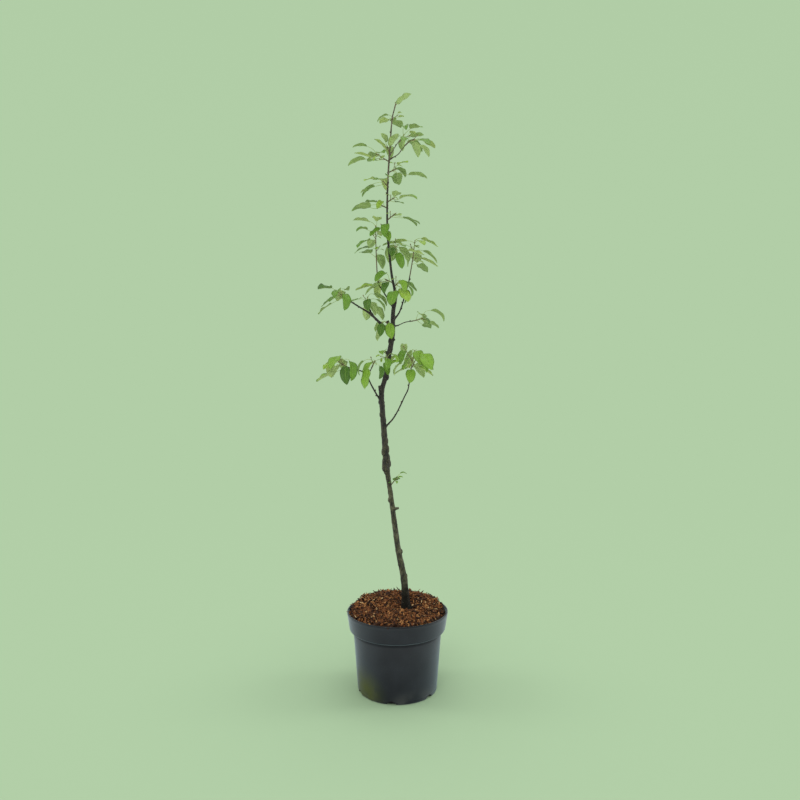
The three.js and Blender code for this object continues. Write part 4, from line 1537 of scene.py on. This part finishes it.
@dataclass
class Mulch:
    """The mix in the pot under its loose bark, chips and fibres."""

    groups: ShaderGroups
    recipes: Recipes
    pot: Pot
    edge_height: float = 142
    crown: float = 8
    crown_radius: float = 50
    back_heap: float = 9
    front_heap: float = 3.2
    side_dip: float = 1.5
    tuck: float = 5
    hollow_flat: float = 13
    hollow: float = 36
    inset: float = 2.1
    open_slope: float = 0.72
    chip_edge: float = 87.8
    stem_clearance: float = 10.5
    rings: int = 64
    segments: int = 160
    lump: float = 2.3
    depth: float = 0.8
    fibres: int = 420
    seed: int = 11

    def _surface(self, x: float, y: float) -> float:
        """The heaped, lumpy surface, dished round the stem, all in millimetres.

        Args:
            x: How far to the right.
            y: How far to the back.

        Returns:
            The height.
        """
        radius = math.hypot(x, y)
        heaped = 1 - smooth(self.crown_radius, self.pot.rim_radius - 2, radius)
        level = self.edge_height + self.crown * heaped
        level += self.back_heap * smooth(-30, 85, y) - self.side_dip * smooth(55, 88, abs(x))
        level += self.front_heap * smooth(-45, -84, y) * smooth(74, 34, abs(x))
        tuck = self.tuck * (0.1 + 0.5 * smooth(40, 80, abs(x)) * smooth(60, 0, y))
        level -= tuck * smooth(84, 89.5, radius)
        from_stem = math.hypot(x - TRUNK_ROWS[0][0], y - TRUNK_ROWS[0][1])
        out = smooth(self.hollow_flat, self.hollow, from_stem)
        coarse = noise.noise(Vector((x / 14, y / 14, 3.0)))
        fine = noise.noise(Vector((x / 5.2, y / 5.2, 9.0)))
        lumps = self.lump * (1.3 * coarse + 1.1 * fine) - 0.6
        return float((GROUND - 0.3) * (1 - out) + level * out + lumps)

    def _bed(self) -> Thing:
        """The solid mix up to its lumpy surface.

        Returns:
            The object.
        """
        pot = self.pot
        foot, top = pot.collar_foot_height, pot.height - pot.lip
        rise = (self.edge_height - foot) / (top - foot)
        rim = pot.rim_radius - pot.lip / 2
        edge = pot.collar_foot_radius * (1 - rise) + rim * rise - self.inset - 0.3
        base = pot.floor_top + 0.3
        profile = [(0.0, base), (pot.wall_radius(base) - self.inset, base)]
        profile.append((pot.wall_top_radius - self.inset, pot.wall_top_height))
        profile.append((pot.collar_foot_radius - self.inset, foot + 0.3))
        profile += [(edge * (1 - i / self.rings), 0.0) for i in range(self.rings + 1)]
        made = turned_solid("mulch_bed", profile, self.segments)
        for vertex in made.data.vertices[1 + 3 * self.segments:]:
            x, y = vertex.co.x / MM, vertex.co.y / MM
            vertex.co.z = (self._surface(x, y) - self.depth) * MM
        made.data.shade_smooth()
        return made

    def _chips(self) -> list[Thing]:
        """Patterns of bark chips: thin splintered shards with uneven outlines.

        Returns:
            The patterns, from long to short.
        """
        random = SeededRandom(self.seed)
        made = []
        shapes = [(11, 2.4), (8.5, 3.6), (7, 2), (5.5, 3.4), (4.2, 2.4), (3, 2.2), (9.5, 1.5)]
        for k, (length, width) in enumerate(shapes):
            cos, sin = ring_turns(9)
            radii = np.array([random.between(0.72, 1.1) for _ in cos])
            x, y = cos * radii * length / 2, sin * radii * width / 2
            bow = random.between(-0.16, 0.16)
            height = bow * x**2 / length + np.array([random.between(-0.25, 0.25) for _ in cos])
            thick = random.between(0.5, 1.3)
            top = np.column_stack([x * 0.9, y * 0.82, height + thick])
            rim = np.column_stack([x, y, height])
            points, faces = capped_rings((0, 0, -0.3), [rim, top], (0, 0, thick + 0.35))
            made.append(mesh_object(f"chip_{k}", points * MM, faces))
        return made

    def _fibre_lines(self) -> list[tuple[Array, Array]]:
        """Loose coir fibres that curl over the surface.

        Returns:
            Points and radii of each fibre, in millimetres.
        """
        random = SeededRandom(self.seed + 7)
        lines = []
        for _ in range(self.fibres):
            radius = 80 * math.sqrt(random.next())
            turn = random.between(0, math.tau)
            x, y = radius * math.cos(turn), radius * math.sin(turn)
            way, curl = random.between(0, math.tau), random.between(-0.32, 0.32)
            step = random.between(1.6, 3.4)
            lift = random.between(0.8, 3.4)
            points = []
            for k in range(7):
                z = self._surface(x, y) + lift * math.sin(math.pi * k / 6) + 0.4
                points.append((x, y, z))
                x, y = x + step * math.cos(way), y + step * math.sin(way)
                way += curl
                if math.hypot(x, y) > 85:
                    break
            if len(points) > 3:
                line = np.array(points)
                lines.append((line, np.linspace(0.26, 0.12, len(line))))
        return lines

    def build(self) -> None:
        """Builds the bed, the chips in their tints, and the fibres."""
        bed = self._bed()
        soil = GrainyFinish(
            self.groups, "moist_mix", srgb(20, 13, 9), srgb(62, 38, 24), 420, 1, 0.92, 0.9
        )
        bed.data.materials.append(soil.material())
        hand_over(bed, ["soil"])
        tints = {
            "mulch_dark_chips": (srgb(30, 18, 10), srgb(60, 36, 20), 36000.0, 1.5),
            "mulch_red_chips": (srgb(80, 46, 22), srgb(126, 78, 40), 40000.0, 1.35),
            "mulch_tan_chips": (srgb(136, 92, 50), srgb(180, 130, 76), 19000.0, 1.15),
            "mulch_pale_chips": (srgb(190, 158, 104), srgb(226, 198, 144), 4600.0, 0.95),
        }
        shelf = shelve("chip_patterns", self._chips())
        kinds = len(shelf.objects)
        for k, (name, (dark, light, density, size)) in enumerate(tints.items()):
            bark = GrainyFinish(self.groups, name, dark, light, 700, 1, 0.84, 0.3)
            ground = self._strewn_ground(name, bed.data)
            self.recipes.scatter.run(
                ground, Patterns=shelf, Density=density, Kinds=kinds, Tilt=0.8, Lift=0.003,
                Least_size=size * 0.45, Most_size=size * 1.15, Seed=self.seed + 13 * k,
                Material=bark.material(),
            )
            ground.data.shade_flat()
            hand_over(ground)
        clear_shelf(shelf)
        coir = GrainyFinish(
            self.groups, "coir_fibre", srgb(112, 70, 38), srgb(176, 124, 74), 800, 1, 0.8, 0.1
        )
        hand_over(self.recipes.round_lines("coir_fibres", self._fibre_lines(), 4, coir))

    def _strewn_ground(self, name: str, bed: bpy.types.Mesh) -> Thing:
        """The open surface that chips are strewn over, short of the pot's wall and the stem.

        Args:
            name: The object's name.
            bed: The mesh of the bed.

        Returns:
            The object.
        """
        stem = Vector((TRUNK_ROWS[0][0], TRUNK_ROWS[0][1], 0)) * MM
        faces = []
        for face in bed.polygons:
            level = face.center.to_2d().to_3d()
            inside = level.length < self.chip_edge * MM or face.center.z > self.pot.height * MM
            clear = (level - stem).length > self.stem_clearance * MM
            if inside and clear and face.normal.z > self.open_slope:
                faces.append(tuple(face.vertices))
        return mesh_object(name, [vertex.co for vertex in bed.vertices], faces)


def set_points(
    name: str, rows: Sequence[tuple[Any, Any, Any, float]], patterns: Sequence[int]
) -> Thing:
    """Makes points for the recipe that sets out patterns.

    Args:
        name: The object's name.
        rows: Place, forward, upright and size of each, in millimetres.
        patterns: The pattern of each.

    Returns:
        The object.
    """
    places, forwards, uprights, sizes = zip(*rows, strict=True)
    made = mesh_object(name, np.array(places) * MM)
    give(made, "forward", "FLOAT_VECTOR", forwards)
    give(made, "upright", "FLOAT_VECTOR", uprights)
    give(made, "size", "FLOAT", np.array(sizes) * MM)
    give(made, "pattern", "INT", patterns)
    return made


@dataclass
class Buds:
    """Pointed buds with overlapping scales, laid from a shelf of patterns."""

    groups: ShaderGroups
    recipes: Recipes
    forms: tuple[tuple[float, float], ...] = ((0.3, 0.06), (0.36, 0.02), (0.27, 0.1))

    def __post_init__(self) -> None:
        """Builds the patterns, one unit long."""
        profile = [(-0.15, 0.5), (0.0, 0.86), (0.14, 0.98), (0.2, 0.9), (0.36, 1.0), (0.44, 0.86)]
        profile += [(0.6, 0.8), (0.68, 0.62), (0.84, 0.4), (0.95, 0.18)]
        cos, sin = ring_turns(8)
        patterns = []
        for k, (girth, lean) in enumerate(self.forms):
            rings = [
                np.column_stack([0 * cos + x, cos * girth * r, sin * girth * r - lean * x * x])
                for x, r in profile
            ]
            points, faces = capped_rings((-0.2, 0, 0), rings, (1.02, 0, -lean))
            made = mesh_object(f"bud_pattern_{k}", points, faces)
            give(made, "station", "FLOAT", np.zeros(len(points)))
            made.data.shade_smooth()
            patterns.append(made)
        self.shelf = shelve("bud_patterns", patterns)

    def lay(self, name: str, rows: Sequence[tuple], dark: Colour, light: Colour) -> None:
        """Lays buds and hands them over.

        Args:
            name: The piece's name.
            rows: Place, forward, upright and size of each, in millimetres.
            dark: The scales' dark tone.
            light: Their light tone.
        """
        made = set_points(name, rows, np.arange(len(rows)) % len(self.forms))
        scales = GrainyFinish(self.groups, f"{name}_scales", dark, light, 1400, 1, 0.6, 0.12)
        material = scales.material()
        self.recipes.set_out.run(
            made, Patterns=self.shelf, Material=material, Under_material=material
        )
        hand_over(made)


@dataclass
class Wood:
    """The trunk and its boughs as one barked surface, with lenticels, buds and cuts."""

    groups: ShaderGroups
    recipes: Recipes
    limbs: list[Limb]
    stubs: list[Limb]
    voxel: float = 0.66
    sides: int = 20
    step: float = 2.0
    collar: float = 0.45
    relief: float = 1.3
    slimmer: float = 0.14
    node_swell: float = 0.09
    node_space: float = 27.0
    lenticel_density: float = 26000.0
    burr_shares: tuple[float, ...] = (-0.98, -0.75, -0.35, 0.1, 0.5, 0.85, 0.98)
    seed: int = 5

    def _tube(self, limb: Limb) -> Skin:
        """A closed tube along a limb, swollen at its collar or flared at the ground.

        Args:
            limb: The limb.

        Returns:
            Points in millimetres and faces.
        """
        rows = limb.smooth_rows(self.step)
        spots = spots_along(rows[:, :3])
        gone = np.concatenate([[0], np.cumsum(np.linalg.norm(np.diff(rows[:, :3], axis=0), axis=1))])
        radii = rows[:, 3] / 2
        turns = np.linspace(0, math.tau, self.sides, endpoint=False)
        is_trunk = limb.name == "trunk"
        from_node = (gone + 9) % self.node_space - self.node_space / 2
        radii = radii * (1 + self.node_swell * np.exp(-((from_node / 2.6) ** 2)))
        if limb.name.endswith(("bough", "fork")):
            radii = radii * (1 - self.slimmer * smooth(3, 16, gone))
            radii = radii * (1 + self.collar * np.exp(-((gone / 6.5) ** 2)))
        points = []
        for spot, radius, run in zip(spots, radii, gone, strict=True):
            wave = 0.02 * np.sin(3 * turns + run * 0.03) + 0.015 * np.sin(5 * turns + run * 0.05)
            if is_trunk:
                wave = wave + 0.16 * np.exp(-run / 11) * np.sin(5 * turns + 0.6)
            reach = radius * (1 + wave)
            ring = np.outer(np.cos(turns) * reach, spot.side)
            points.append(spot.point + ring + np.outer(np.sin(turns) * reach, spot.across))
        return capped_rings(spots[0].point, points, spots[-1].point)

    def _burr(self, x: float, y: float, z: float, radius: float) -> Skin:
        """A knob that sits half in the bark, drawn out along the stem."""
        rows = [(x, y, z + 1.8 * radius * s, 2 * radius * math.sqrt(1 - s**2)) for s in self.burr_shares]
        return self._tube(Limb("burr", np.array(rows)))

    def _skin(self) -> Thing:
        """One closed surface over every limb and stub.

        Returns:
            The object before its relief.
        """
        points, faces = [], []
        solids = [self._tube(limb) for limb in [*self.limbs, *self.stubs]]
        for own, around in solids + [self._burr(*burr) for burr in BURRS]:
            faces += [tuple(n + len(points) for n in face) for face in around]
            points.extend(own)
        made = mesh_object("bark", np.array(points) * MM, faces)
        remesh = made.modifiers.new("fuse", "REMESH")
        remesh.mode, remesh.voxel_size, remesh.adaptivity = "VOXEL", self.voxel * MM, 0.0
        relax = made.modifiers.new("relax", "SMOOTH")
        relax.factor, relax.iterations = 0.5, 3
        return bake(made)

    def _girths(self, made: Thing) -> None:
        """Stores how thick the wood is at each point, 1 on the thickest.

        Args:
            made: The skin.
        """
        rows = np.concatenate([limb.smooth_rows(2.0) for limb in self.limbs])
        tree = kdtree.KDTree(len(rows))
        for i, row in enumerate(rows):
            tree.insert(Vector(row[:3] * MM), i)
        tree.balance()
        widest = 12.0
        values = [min(1.0, rows[tree.find(v.co)[1], 3] / widest) for v in made.data.vertices]
        give(made, "girth", "FLOAT", values)

    def _bud_rows(self) -> list[tuple[Array, Array, Array, float]]:
        """Places for buds along the wood.

        Returns:
            Place, forward, upright and size of each, in millimetres.
        """
        random = SeededRandom(self.seed)
        found = []
        for limb in self.limbs:
            rows = limb.smooth_rows(2.0)
            is_trunk = limb.name == "trunk"
            spots = spots_along(rows[:, :3])
            run = 0.0
            due = 20.0 if is_trunk else 12.0
            turn = random.between(0, 360)
            for i in range(1, len(rows)):
                run += float(np.linalg.norm(rows[i, :3] - rows[i - 1, :3]))
                if run < due or (is_trunk and rows[i, 2] < 424):
                    continue
                due = run + (random.between(17, 27) if is_trunk else random.between(9, 15))
                turn += GOLDEN_TURN
                out = spots[i].around(turn, 90)
                place = spots[i].point + out * (rows[i, 3] / 2 * 0.86)
                found.append((place, spots[i].around(turn, 30), out, random.between(2.1, 3.4)))
        return found

    def build(self, buds: Buds) -> None:
        """Builds the bark, its lenticels and its buds.

        Args:
            buds: What lays the buds.
        """
        bark = BarkFinish(self.groups).material()
        skin = self._skin()
        self._girths(skin)
        lenticels = bpy.data.objects.new("lenticels", skin.data.copy())
        bpy.context.scene.collection.objects.link(lenticels)
        self.recipes.relief.run(
            skin, Depth=self.relief * MM, Scale=330.0, Stretch=4.5, Material=bark
        )
        hand_over(skin, [limb.name for limb in self.limbs])
        shelf = shelve("lenticel_patterns", [self._lenticel()])
        cork = GrainyFinish(
            self.groups, "lenticel_cork", srgb(100, 92, 74), srgb(136, 126, 102), 900, 1, 0.85, 0.1
        )
        self.recipes.lenticels.run(
            lenticels, Patterns=shelf, Density=self.lenticel_density, Seed=self.seed,
            Material=cork.material(),
        )
        hand_over(lenticels)
        clear_shelf(shelf)
        buds.lay("buds_on_wood", self._bud_rows(), srgb(44, 32, 26), srgb(88, 66, 50))

    def _lenticel(self) -> Thing:
        """The pattern of a lenticel: a low lens, wide round the limb.

        Returns:
            The pattern.
        """
        cos, sin = ring_turns(8)
        foot = np.column_stack([cos * 0.26, sin * 0.62, 0 * cos - 0.2])
        brow = np.column_stack([cos * 0.16, sin * 0.42, 0 * cos + 0.12])
        points, faces = capped_rings((0, 0, -0.2), [foot, brow], (0, 0, 0.16))
        return mesh_object("lenticel", points * MM, faces)


class Tint(Enum):
    """The leaf tints, each with its top, its underside and its share of the leaves."""

    DEEP = (srgb(67, 108, 27), srgb(122, 154, 86), 0.28)
    GREEN = (srgb(92, 137, 32), srgb(140, 170, 98), 0.35)
    BRIGHT = (srgb(116, 160, 44), srgb(156, 184, 112), 0.25)
    FRESH = (srgb(138, 174, 58), srgb(158, 184, 104), 0.12)

    def __init__(self, top: Colour, under: Colour, share: float) -> None:
        """Keeps the tint's values."""
        self.top, self.under, self.share = top, under, share


@dataclass
class LeafPattern:
    """A blade one unit long: its form, its veins' relief and its own waves."""

    form: LeafForm
    variant: int
    stations: int = 38
    columns: tuple[float, ...] = (-1, -0.7, -0.38, -0.08, 0, 0.08, 0.38, 0.7, 1)
    thickness: float = 0.011
    rib: float = 0.014
    pleat: float = 0.006
    pairs: int = 8

    def build(self) -> Thing:
        """Builds the blade as a thin closed mesh.

        Returns:
            The pattern.
        """
        random = SeededRandom(31 + self.variant)
        wave, phase = random.between(0.014, 0.032), random.between(0, math.tau)
        sickle = random.between(-0.09, 0.09)
        tuck = random.between(-0.1, 0.22)
        cols = np.array(self.columns)
        u = np.linspace(0, 1, self.stations + 1)[1:-1]
        uu, vv = np.meshgrid(u, cols, indexing="ij")
        notch = 1 + 0.013 * np.where(np.arange(len(u)) % 2 == 0, 1, -1)[:, None]
        notch = np.where(np.abs(vv) == 1, notch, 1)
        pinch = (1 + 0.1 * smooth(0.5, 0.85, uu)) * (1 - 0.3 * smooth(0.9, 1.0, uu))
        half = self.form.width * blade_outline(uu) / 2
        points = blade_points(self.form, uu, vv, half * notch * pinch)
        edge = np.abs(vv) ** 2
        points[..., 2] += wave * edge * np.sin(2 * math.tau * uu + phase + (vv > 0) * 1.9)
        points[..., 2] -= tuck * half * edge * np.sin(math.pi * uu)
        points[..., 1] += sickle * uu**2 * 0.5
        veins = np.cos(math.tau * self.pairs * (uu - 0.22 * np.abs(vv)))
        points[..., 2] += self.pleat * veins * (1 - edge) * (np.abs(vv) > 0.2)
        grooved = np.where(np.abs(vv) < 0.01, 0.55 * self.rib * (1 - 0.6 * uu), 0)
        thick = self.thickness * (1 - 0.5 * np.abs(vv))
        bend = math.radians(self.form.arch) * uu
        normal = np.stack([np.sin(bend), np.zeros_like(bend), np.cos(bend)], axis=-1)
        ridge = np.where(np.abs(vv) < 0.01, self.rib * (1.1 - 0.8 * uu), 0)
        top = points - normal * grooved[..., None]
        under = points - normal * (thick + ridge)[..., None]
        under[:, 0], under[:, -1] = top[:, 0], top[:, -1]
        return self._mesh(top, under, u, cols, sickle)

    def _mesh(self, top: Array, under: Array, u: Array, cols: Array, sickle: float) -> Thing:
        """Joins both sides of a blade at their shared margin.

        Args:
            top: The upper side's points, by station and column.
            under: The underside's.
            u: The stations.
            cols: The columns.
            sickle: How far the tip lies to the side.

        Returns:
            The object with its map and its attributes.
        """
        rows, wide = top.shape[:2]
        tip = blade_points(self.form, np.array([1.0]), np.array([0.0]), np.array([0.0]))[0]
        points = [np.zeros(3), tip + (0, sickle * 0.5, 0), *top.reshape(-1, 3)]
        maps = [(0.0, 0.5), (1.0, 0.5), *((s, (c + 1) / 2) for s in u for c in cols)]
        upper = np.arange(rows * wide).reshape(rows, wide) + 2
        lower = upper.copy()
        lower[:, 1:-1] = np.arange(rows * (wide - 2)).reshape(rows, -1) + len(points)
        points += [*under[:, 1:-1].reshape(-1, 3)]
        maps += [(s, (c + 1) / 2) for s in u for c in cols[1:-1]]
        faces = []
        for sheet, way in ((upper, 1), (lower, -1)):
            for left, right in pairwise(sheet.T.tolist()):
                faces += [(0, left[0], right[0])[::way], (1, right[-1], left[-1])[::way]]
                faces += [quad[::way] for quad in zip(left, left[1:], right[1:], right, strict=False)]
        made = mesh_object(f"leaf_pattern_{self.variant:02d}", np.array(points), faces)
        layer = made.data.uv_layers.new(name="UVMap")
        for loop in made.data.loops:
            layer.data[loop.index].uv = maps[loop.vertex_index]
        give(made, "station", "FLOAT", [place[0] for place in maps])
        attribute = made.data.attributes.new("underside", "BOOLEAN", "FACE")
        attribute.data.foreach_set("value", np.repeat((False, True), len(faces) // 2))
        made.data.shade_smooth()
        return made


@dataclass
class Foliage:
    """Every mass's stems, stalks, buds and leaves."""

    groups: ShaderGroups
    recipes: Recipes
    masses: list[Mass]
    vein: Colour = srgb(150, 178, 84)
    under_vein: Colour = srgb(182, 202, 146)
    variants: int = 3
    seed: int = 77

    def _stems(self) -> list[tuple[Array, Array]]:
        """Stems and twigs with their radii, smoothed from the same curves.

        Returns:
            Points and radii of each, in millimetres.
        """
        lines = []
        for mass in self.masses:
            foot = mass.stem[0] - unit(mass.stem[1] - mass.stem[0]) * 2.2
            shoots = [(np.vstack([foot, mass.stem]), mass.diameter / 2)]
            shoots += [(twig, mass.diameter * 0.33) for twig in mass.twigs]
            shoots += [(twig, mass.diameter * 0.24) for twig in mass.fine_twigs]
            for points, radius in shoots:
                rows = Limb("shoot", np.column_stack([points, np.full(len(points), 2 * radius)]))
                drawn = rows.smooth_rows(0.9)
                share = np.linspace(0, 1, len(drawn))
                knuckles = 0.1 * np.cos(np.arange(len(drawn)) * 1.55)
                radii = radius * (1 - 0.36 * share) * (1 + knuckles * (mass.plan.length < 40))
                radii[-1] *= 0.6
                lines.append((drawn[:, :3], radii))
        return lines

    def _stalks(self, leaves: Sequence[Leaf], thick: float) -> list:
        """Leaf stalks: swollen at the foot, and run on a little under the blade.

        Args:
            leaves: The leaves.
            thick: The stalk's radius in millimetres.

        Returns:
            Points and radii of each, in millimetres.
        """
        lines = []
        for leaf in leaves:
            inside = leaf.base + leaf.forward * (0.035 * leaf.length) - leaf.normal * 0.12
            points = np.vstack([bow(leaf.node, leaf.knee, leaf.base, 8), inside])
            share = np.linspace(0, 1, len(points))
            radii = thick * (1 + 0.9 * np.exp(-share * 9) - 0.22 * share)
            radii[-1] *= 0.6
            lines.append((points, radii))
        return lines

    def _tinted(self) -> dict[Tint, list[tuple[Leaf, int]]]:
        """Deals a tint and a pattern to every leaf.

        Returns:
            The leaves of each tint with their patterns.
        """
        random = SeededRandom(self.seed)
        dealt: dict[Tint, list[tuple[Leaf, int]]] = {tint: [] for tint in Tint}
        for mass in self.masses:
            lean = random.between(-0.16, 0.16)
            for leaf in mass.leaves:
                draw = min(0.999, max(0.0, random.next() + lean))
                variant = math.floor(random.next() * self.variants)
                total = 0.0
                for tint in Tint:
                    total += tint.share
                    if draw < total or tint is Tint.FRESH:
                        dealt[tint].append((leaf, leaf.form * self.variants + variant))
                        break
        return dealt

    def _lay_leaves(
        self, name: str, leaves: Sequence[tuple[Leaf, int]], shelf: Shelf, tint: Tint
    ) -> Thing:
        """Sets out the leaves of one tint.

        Args:
            name: The piece's name.
            leaves: The leaves with their patterns.
            shelf: The leaf patterns.
            tint: Their tint.

        Returns:
            The piece.
        """
        rows = [(leaf.base, leaf.forward, leaf.normal, leaf.length) for leaf, _ in leaves]
        made = set_points(name, rows, [pattern for _, pattern in leaves])
        top = LeafFinish(self.groups, f"leaf_{name}_top", tint.top, self.vein, 0.4)
        under = LeafFinish(
            self.groups, f"leaf_{name}_under", tint.under, self.under_vein, 0.62, 0.32, 0.05
        )
        return self.recipes.set_out.run(
            made, Patterns=shelf, Ripple=3.2 * MM, Ripple_scale=45.0, Material=top.material(),
            Under_material=under.material(),
        )

    def _leaf_shelf(self) -> Shelf:
        """The patterns of every form of leaf in each of its variants."""
        forms = [form for form in LEAF_FORMS for _ in range(self.variants)]
        return shelve("leaf_patterns", [LeafPattern(form, k).build() for k, form in enumerate(forms)])

    def _set_buds(self, buds: Buds) -> None:
        """Sets a bud where each leaf stalk leaves its shoot, and one at each shoot's tip.

        Args:
            buds: What lays them.
        """
        rows = []
        for mass in self.masses:
            for leaf in mass.leaves:
                out = unit(leaf.knee - leaf.node)
                lifted = unit(out + (0, 0, 0.9))
                upright = unit(np.cross(np.cross(lifted, out), lifted) + 1e-6)
                rows.append((leaf.node + out * 0.7, lifted, upright, mass.plan.blade * 0.055))
            for line in [mass.stem, *mass.twigs, *mass.fine_twigs]:
                tip = unit(line[-1] - line[-2])
                upright = unit(np.cross(np.cross(tip, (0.3, 0.5, 1)), tip))
                rows.append((line[-1] - tip * 0.4, tip, upright, mass.plan.blade * 0.085))
        buds.lay("buds_on_shoots", rows, srgb(84, 74, 44), srgb(128, 118, 70))

    def build(self, buds: Buds) -> None:
        """Builds the shoots, the stalks, the buds and the leaves of each tint.

        Args:
            buds: What lays the buds.
        """
        nodes = [mass.plan.name for mass in self.masses]
        shoot = GrainyFinish(
            self.groups, "shoot_bark", srgb(64, 56, 42), srgb(112, 100, 74), 700, 3, 0.6, 0.12
        )
        shoots = self.recipes.round_lines("shoots", self._stems(), 9, shoot)
        hand_over(shoots, nodes)
        stalk = GrainyFinish(
            self.groups, "leaf_stalk", srgb(128, 152, 76), srgb(160, 180, 106), 900, 3, 0.5, 0.06
        )
        grown = [leaf for mass in self.masses for leaf in mass.leaves]
        young = [leaf for mass in self.masses for leaf in mass.young]
        lines = self._stalks(grown, 0.42) + self._stalks(young, 0.26)
        hand_over(self.recipes.round_lines("leaf_stalks", lines, 6, stalk), nodes)
        self._set_buds(buds)
        shelf = self._leaf_shelf()
        for tint, leaves in self._tinted().items():
            piece = self._lay_leaves(f"leaves_{tint.name.lower()}", leaves, shelf, tint)
            hand_over(piece, nodes)
        small = [(leaf, leaf.form * self.variants) for leaf in young]
        hand_over(self._lay_leaves("leaves_young", small, shelf, Tint.FRESH))
        clear_shelf(shelf)


@dataclass
class Studio:
    """The pale sweep, the soft lights and the camera of the photograph."""

    sage: Colour = srgb(178, 206, 167)
    bowl_radius: float = 3.4
    bowl_height: float = 3.9
    corner: float = 1.3
    neutral: Colour = (1.0, 1.0, 1.0, 1.0)
    # Painted shadow round the pot: within near of the middle the floor loses its glow and shows a darker
    # neutral colour to reflections, fading out by far
    near: float = 0.08
    far: float = 0.6
    sage_matt: tuple[float, float] = (0.8, 0.03)
    sage_glow: tuple[float, float] = (0.0, 0.97)
    neutral_matt: tuple[float, float] = (0.2, 0.5)
    neutral_glow: tuple[float, float] = (0.02, 0.42)
    distance: float = 1.32
    eye_height: float = 0.5922
    focal_pixels: float = 713.0
    centre_column: float = 397.4
    horizon_row: float = 367.0
    picture: float = 800.0
    sensor: float = 36.0

    def build(self) -> None:
        """Builds the sweep, the lights and the camera."""
        self._sweep()
        self._lights()
        self._camera()

    def _sweep(self) -> None:
        """A floor that turns up into a wall all round, with a painted shadow on the floor round the pot.
        """
        profile = [(0.0, -0.02), (0.05, -0.02), (self.bowl_radius + 0.05, -0.02)]
        profile += [(self.bowl_radius + 0.05, self.bowl_height), (self.bowl_radius, self.bowl_height)]
        for t in np.linspace(0, math.pi / 2, 16):
            radius = self.bowl_radius - self.corner * (1 - math.cos(t))
            profile.append((radius, self.corner * (1 - math.sin(t))))
        profile.append((0.0, 0.0))
        scaled = [(radius / MM, height / MM) for radius, height in profile]
        sweep = turned_solid("sweep", scaled, 96)
        sweep.data.shade_smooth()
        paint = Paint("sage_sweep")
        graph = paint.graph
        seen = graph.add("ShaderNodeLightPath").outputs["Is Camera Ray"]
        # Painted shadow: the floor's glow and brightness fade in with distance from the pot
        far = graph.remap(graph.vector("LENGTH", {0: paint.place}), self.near, self.far)
        tones = []
        for shares in (self.neutral_matt, self.sage_matt, self.neutral_glow, self.sage_glow):
            colour = self.sage if shares in (self.sage_matt, self.sage_glow) else self.neutral
            tones.append(graph.blend(far, *(dimmed(colour, share) for share in shares)))
        material = paint.finish(
            Base_Color=graph.blend(seen, *tones[:2]), Emission_Color=graph.blend(seen, *tones[2:]),
            Emission_Strength=1.0, Roughness=1.0, Specular_IOR_Level=0.0,
        )
        sweep.data.materials.append(material)

    def _lights(self) -> None:
        """A broad front key, two tall side boxes and a soft world."""
        boxes = [
            ("key_box", (-0.5, -2.4, 2.3), (1.6, 1.6), 24.0),
            ("left_box", (-2.2, 0.3, 1.0), (0.8, 2.2), 17.0),
            ("right_box", (2.2, 0.3, 1.0), (0.8, 2.2), 20.0),
            ("top_box", (0.2, 0.3, 2.9), (2.2, 2.2), 24.0),
        ]
        aim = Vector((0, 0, 0.5))
        for name, place, size, power in boxes:
            light = bpy.data.lights.new(name, "AREA")
            light.shape, light.energy = "RECTANGLE", power
            light.size, light.size_y = size
            holder = bpy.data.objects.new(name, light)
            holder.location = place
            holder.rotation_euler = (aim - Vector(place)).to_track_quat("-Z", "Y").to_euler()
            holder.visible_camera = False
            bpy.context.scene.collection.objects.link(holder)
        world = bpy.data.worlds.new("soft_world")
        world.use_nodes = True
        sky = world.node_tree.nodes["Background"].inputs
        sky["Color"].default_value = (0.95, 0.97, 1.0, 1)
        sky["Strength"].default_value = 0.5
        bpy.context.scene.world = world

    def _camera(self) -> None:
        """The level camera that the rim's and the foot's ellipses give."""
        data = bpy.data.cameras.new("camera")
        data.sensor_fit, data.sensor_width = "HORIZONTAL", self.sensor
        data.lens = self.focal_pixels / self.picture * self.sensor
        middle = self.picture / 2
        data.shift_y = (self.horizon_row - middle) / self.picture
        data.clip_start, data.clip_end = 0.05, 20.0
        camera = bpy.data.objects.new("camera", data)
        aside = (middle - self.centre_column) / self.focal_pixels * self.distance
        camera.location = (aside, -self.distance, self.eye_height)
        camera.rotation_euler = (math.pi / 2, 0, 0)
        bpy.context.scene.collection.objects.link(camera)
        bpy.context.scene.camera = camera
        bpy.context.scene.view_settings.view_transform = "Standard"


def main() -> None:
    """Loads the frame and builds every piece around it."""
    logging.basicConfig(level=logging.INFO, format="%(name)s: %(message)s")
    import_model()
    groups, recipes = ShaderGroups(), Recipes()
    Studio().build()
    pot = Pot(PlasticFinish(groups))
    pot.build()
    Mulch(groups, recipes, pot).build()
    trunk = Limb("trunk", np.array(TRUNK_ROWS, float))
    boughs = [Limb(name, np.array(rows, float)) for name, rows in BOUGH_ROWS.items()]
    stubs = [Limb("stub", np.array(rows, float)) for rows in STUB_ROWS]
    limbs = [trunk, *boughs]
    plans = [MassPlan(f"foliage_{name}", *values) for name, values in MASS_ROWS.items()]
    masses = GrowthRule().grow(limbs, plans)
    buds = Buds(groups, recipes)
    Wood(groups, recipes, limbs, stubs).build(buds)
    Foliage(groups, recipes, masses).build(buds)
    clear_shelf(buds.shelf)


if __name__ == "__main__":
    main()
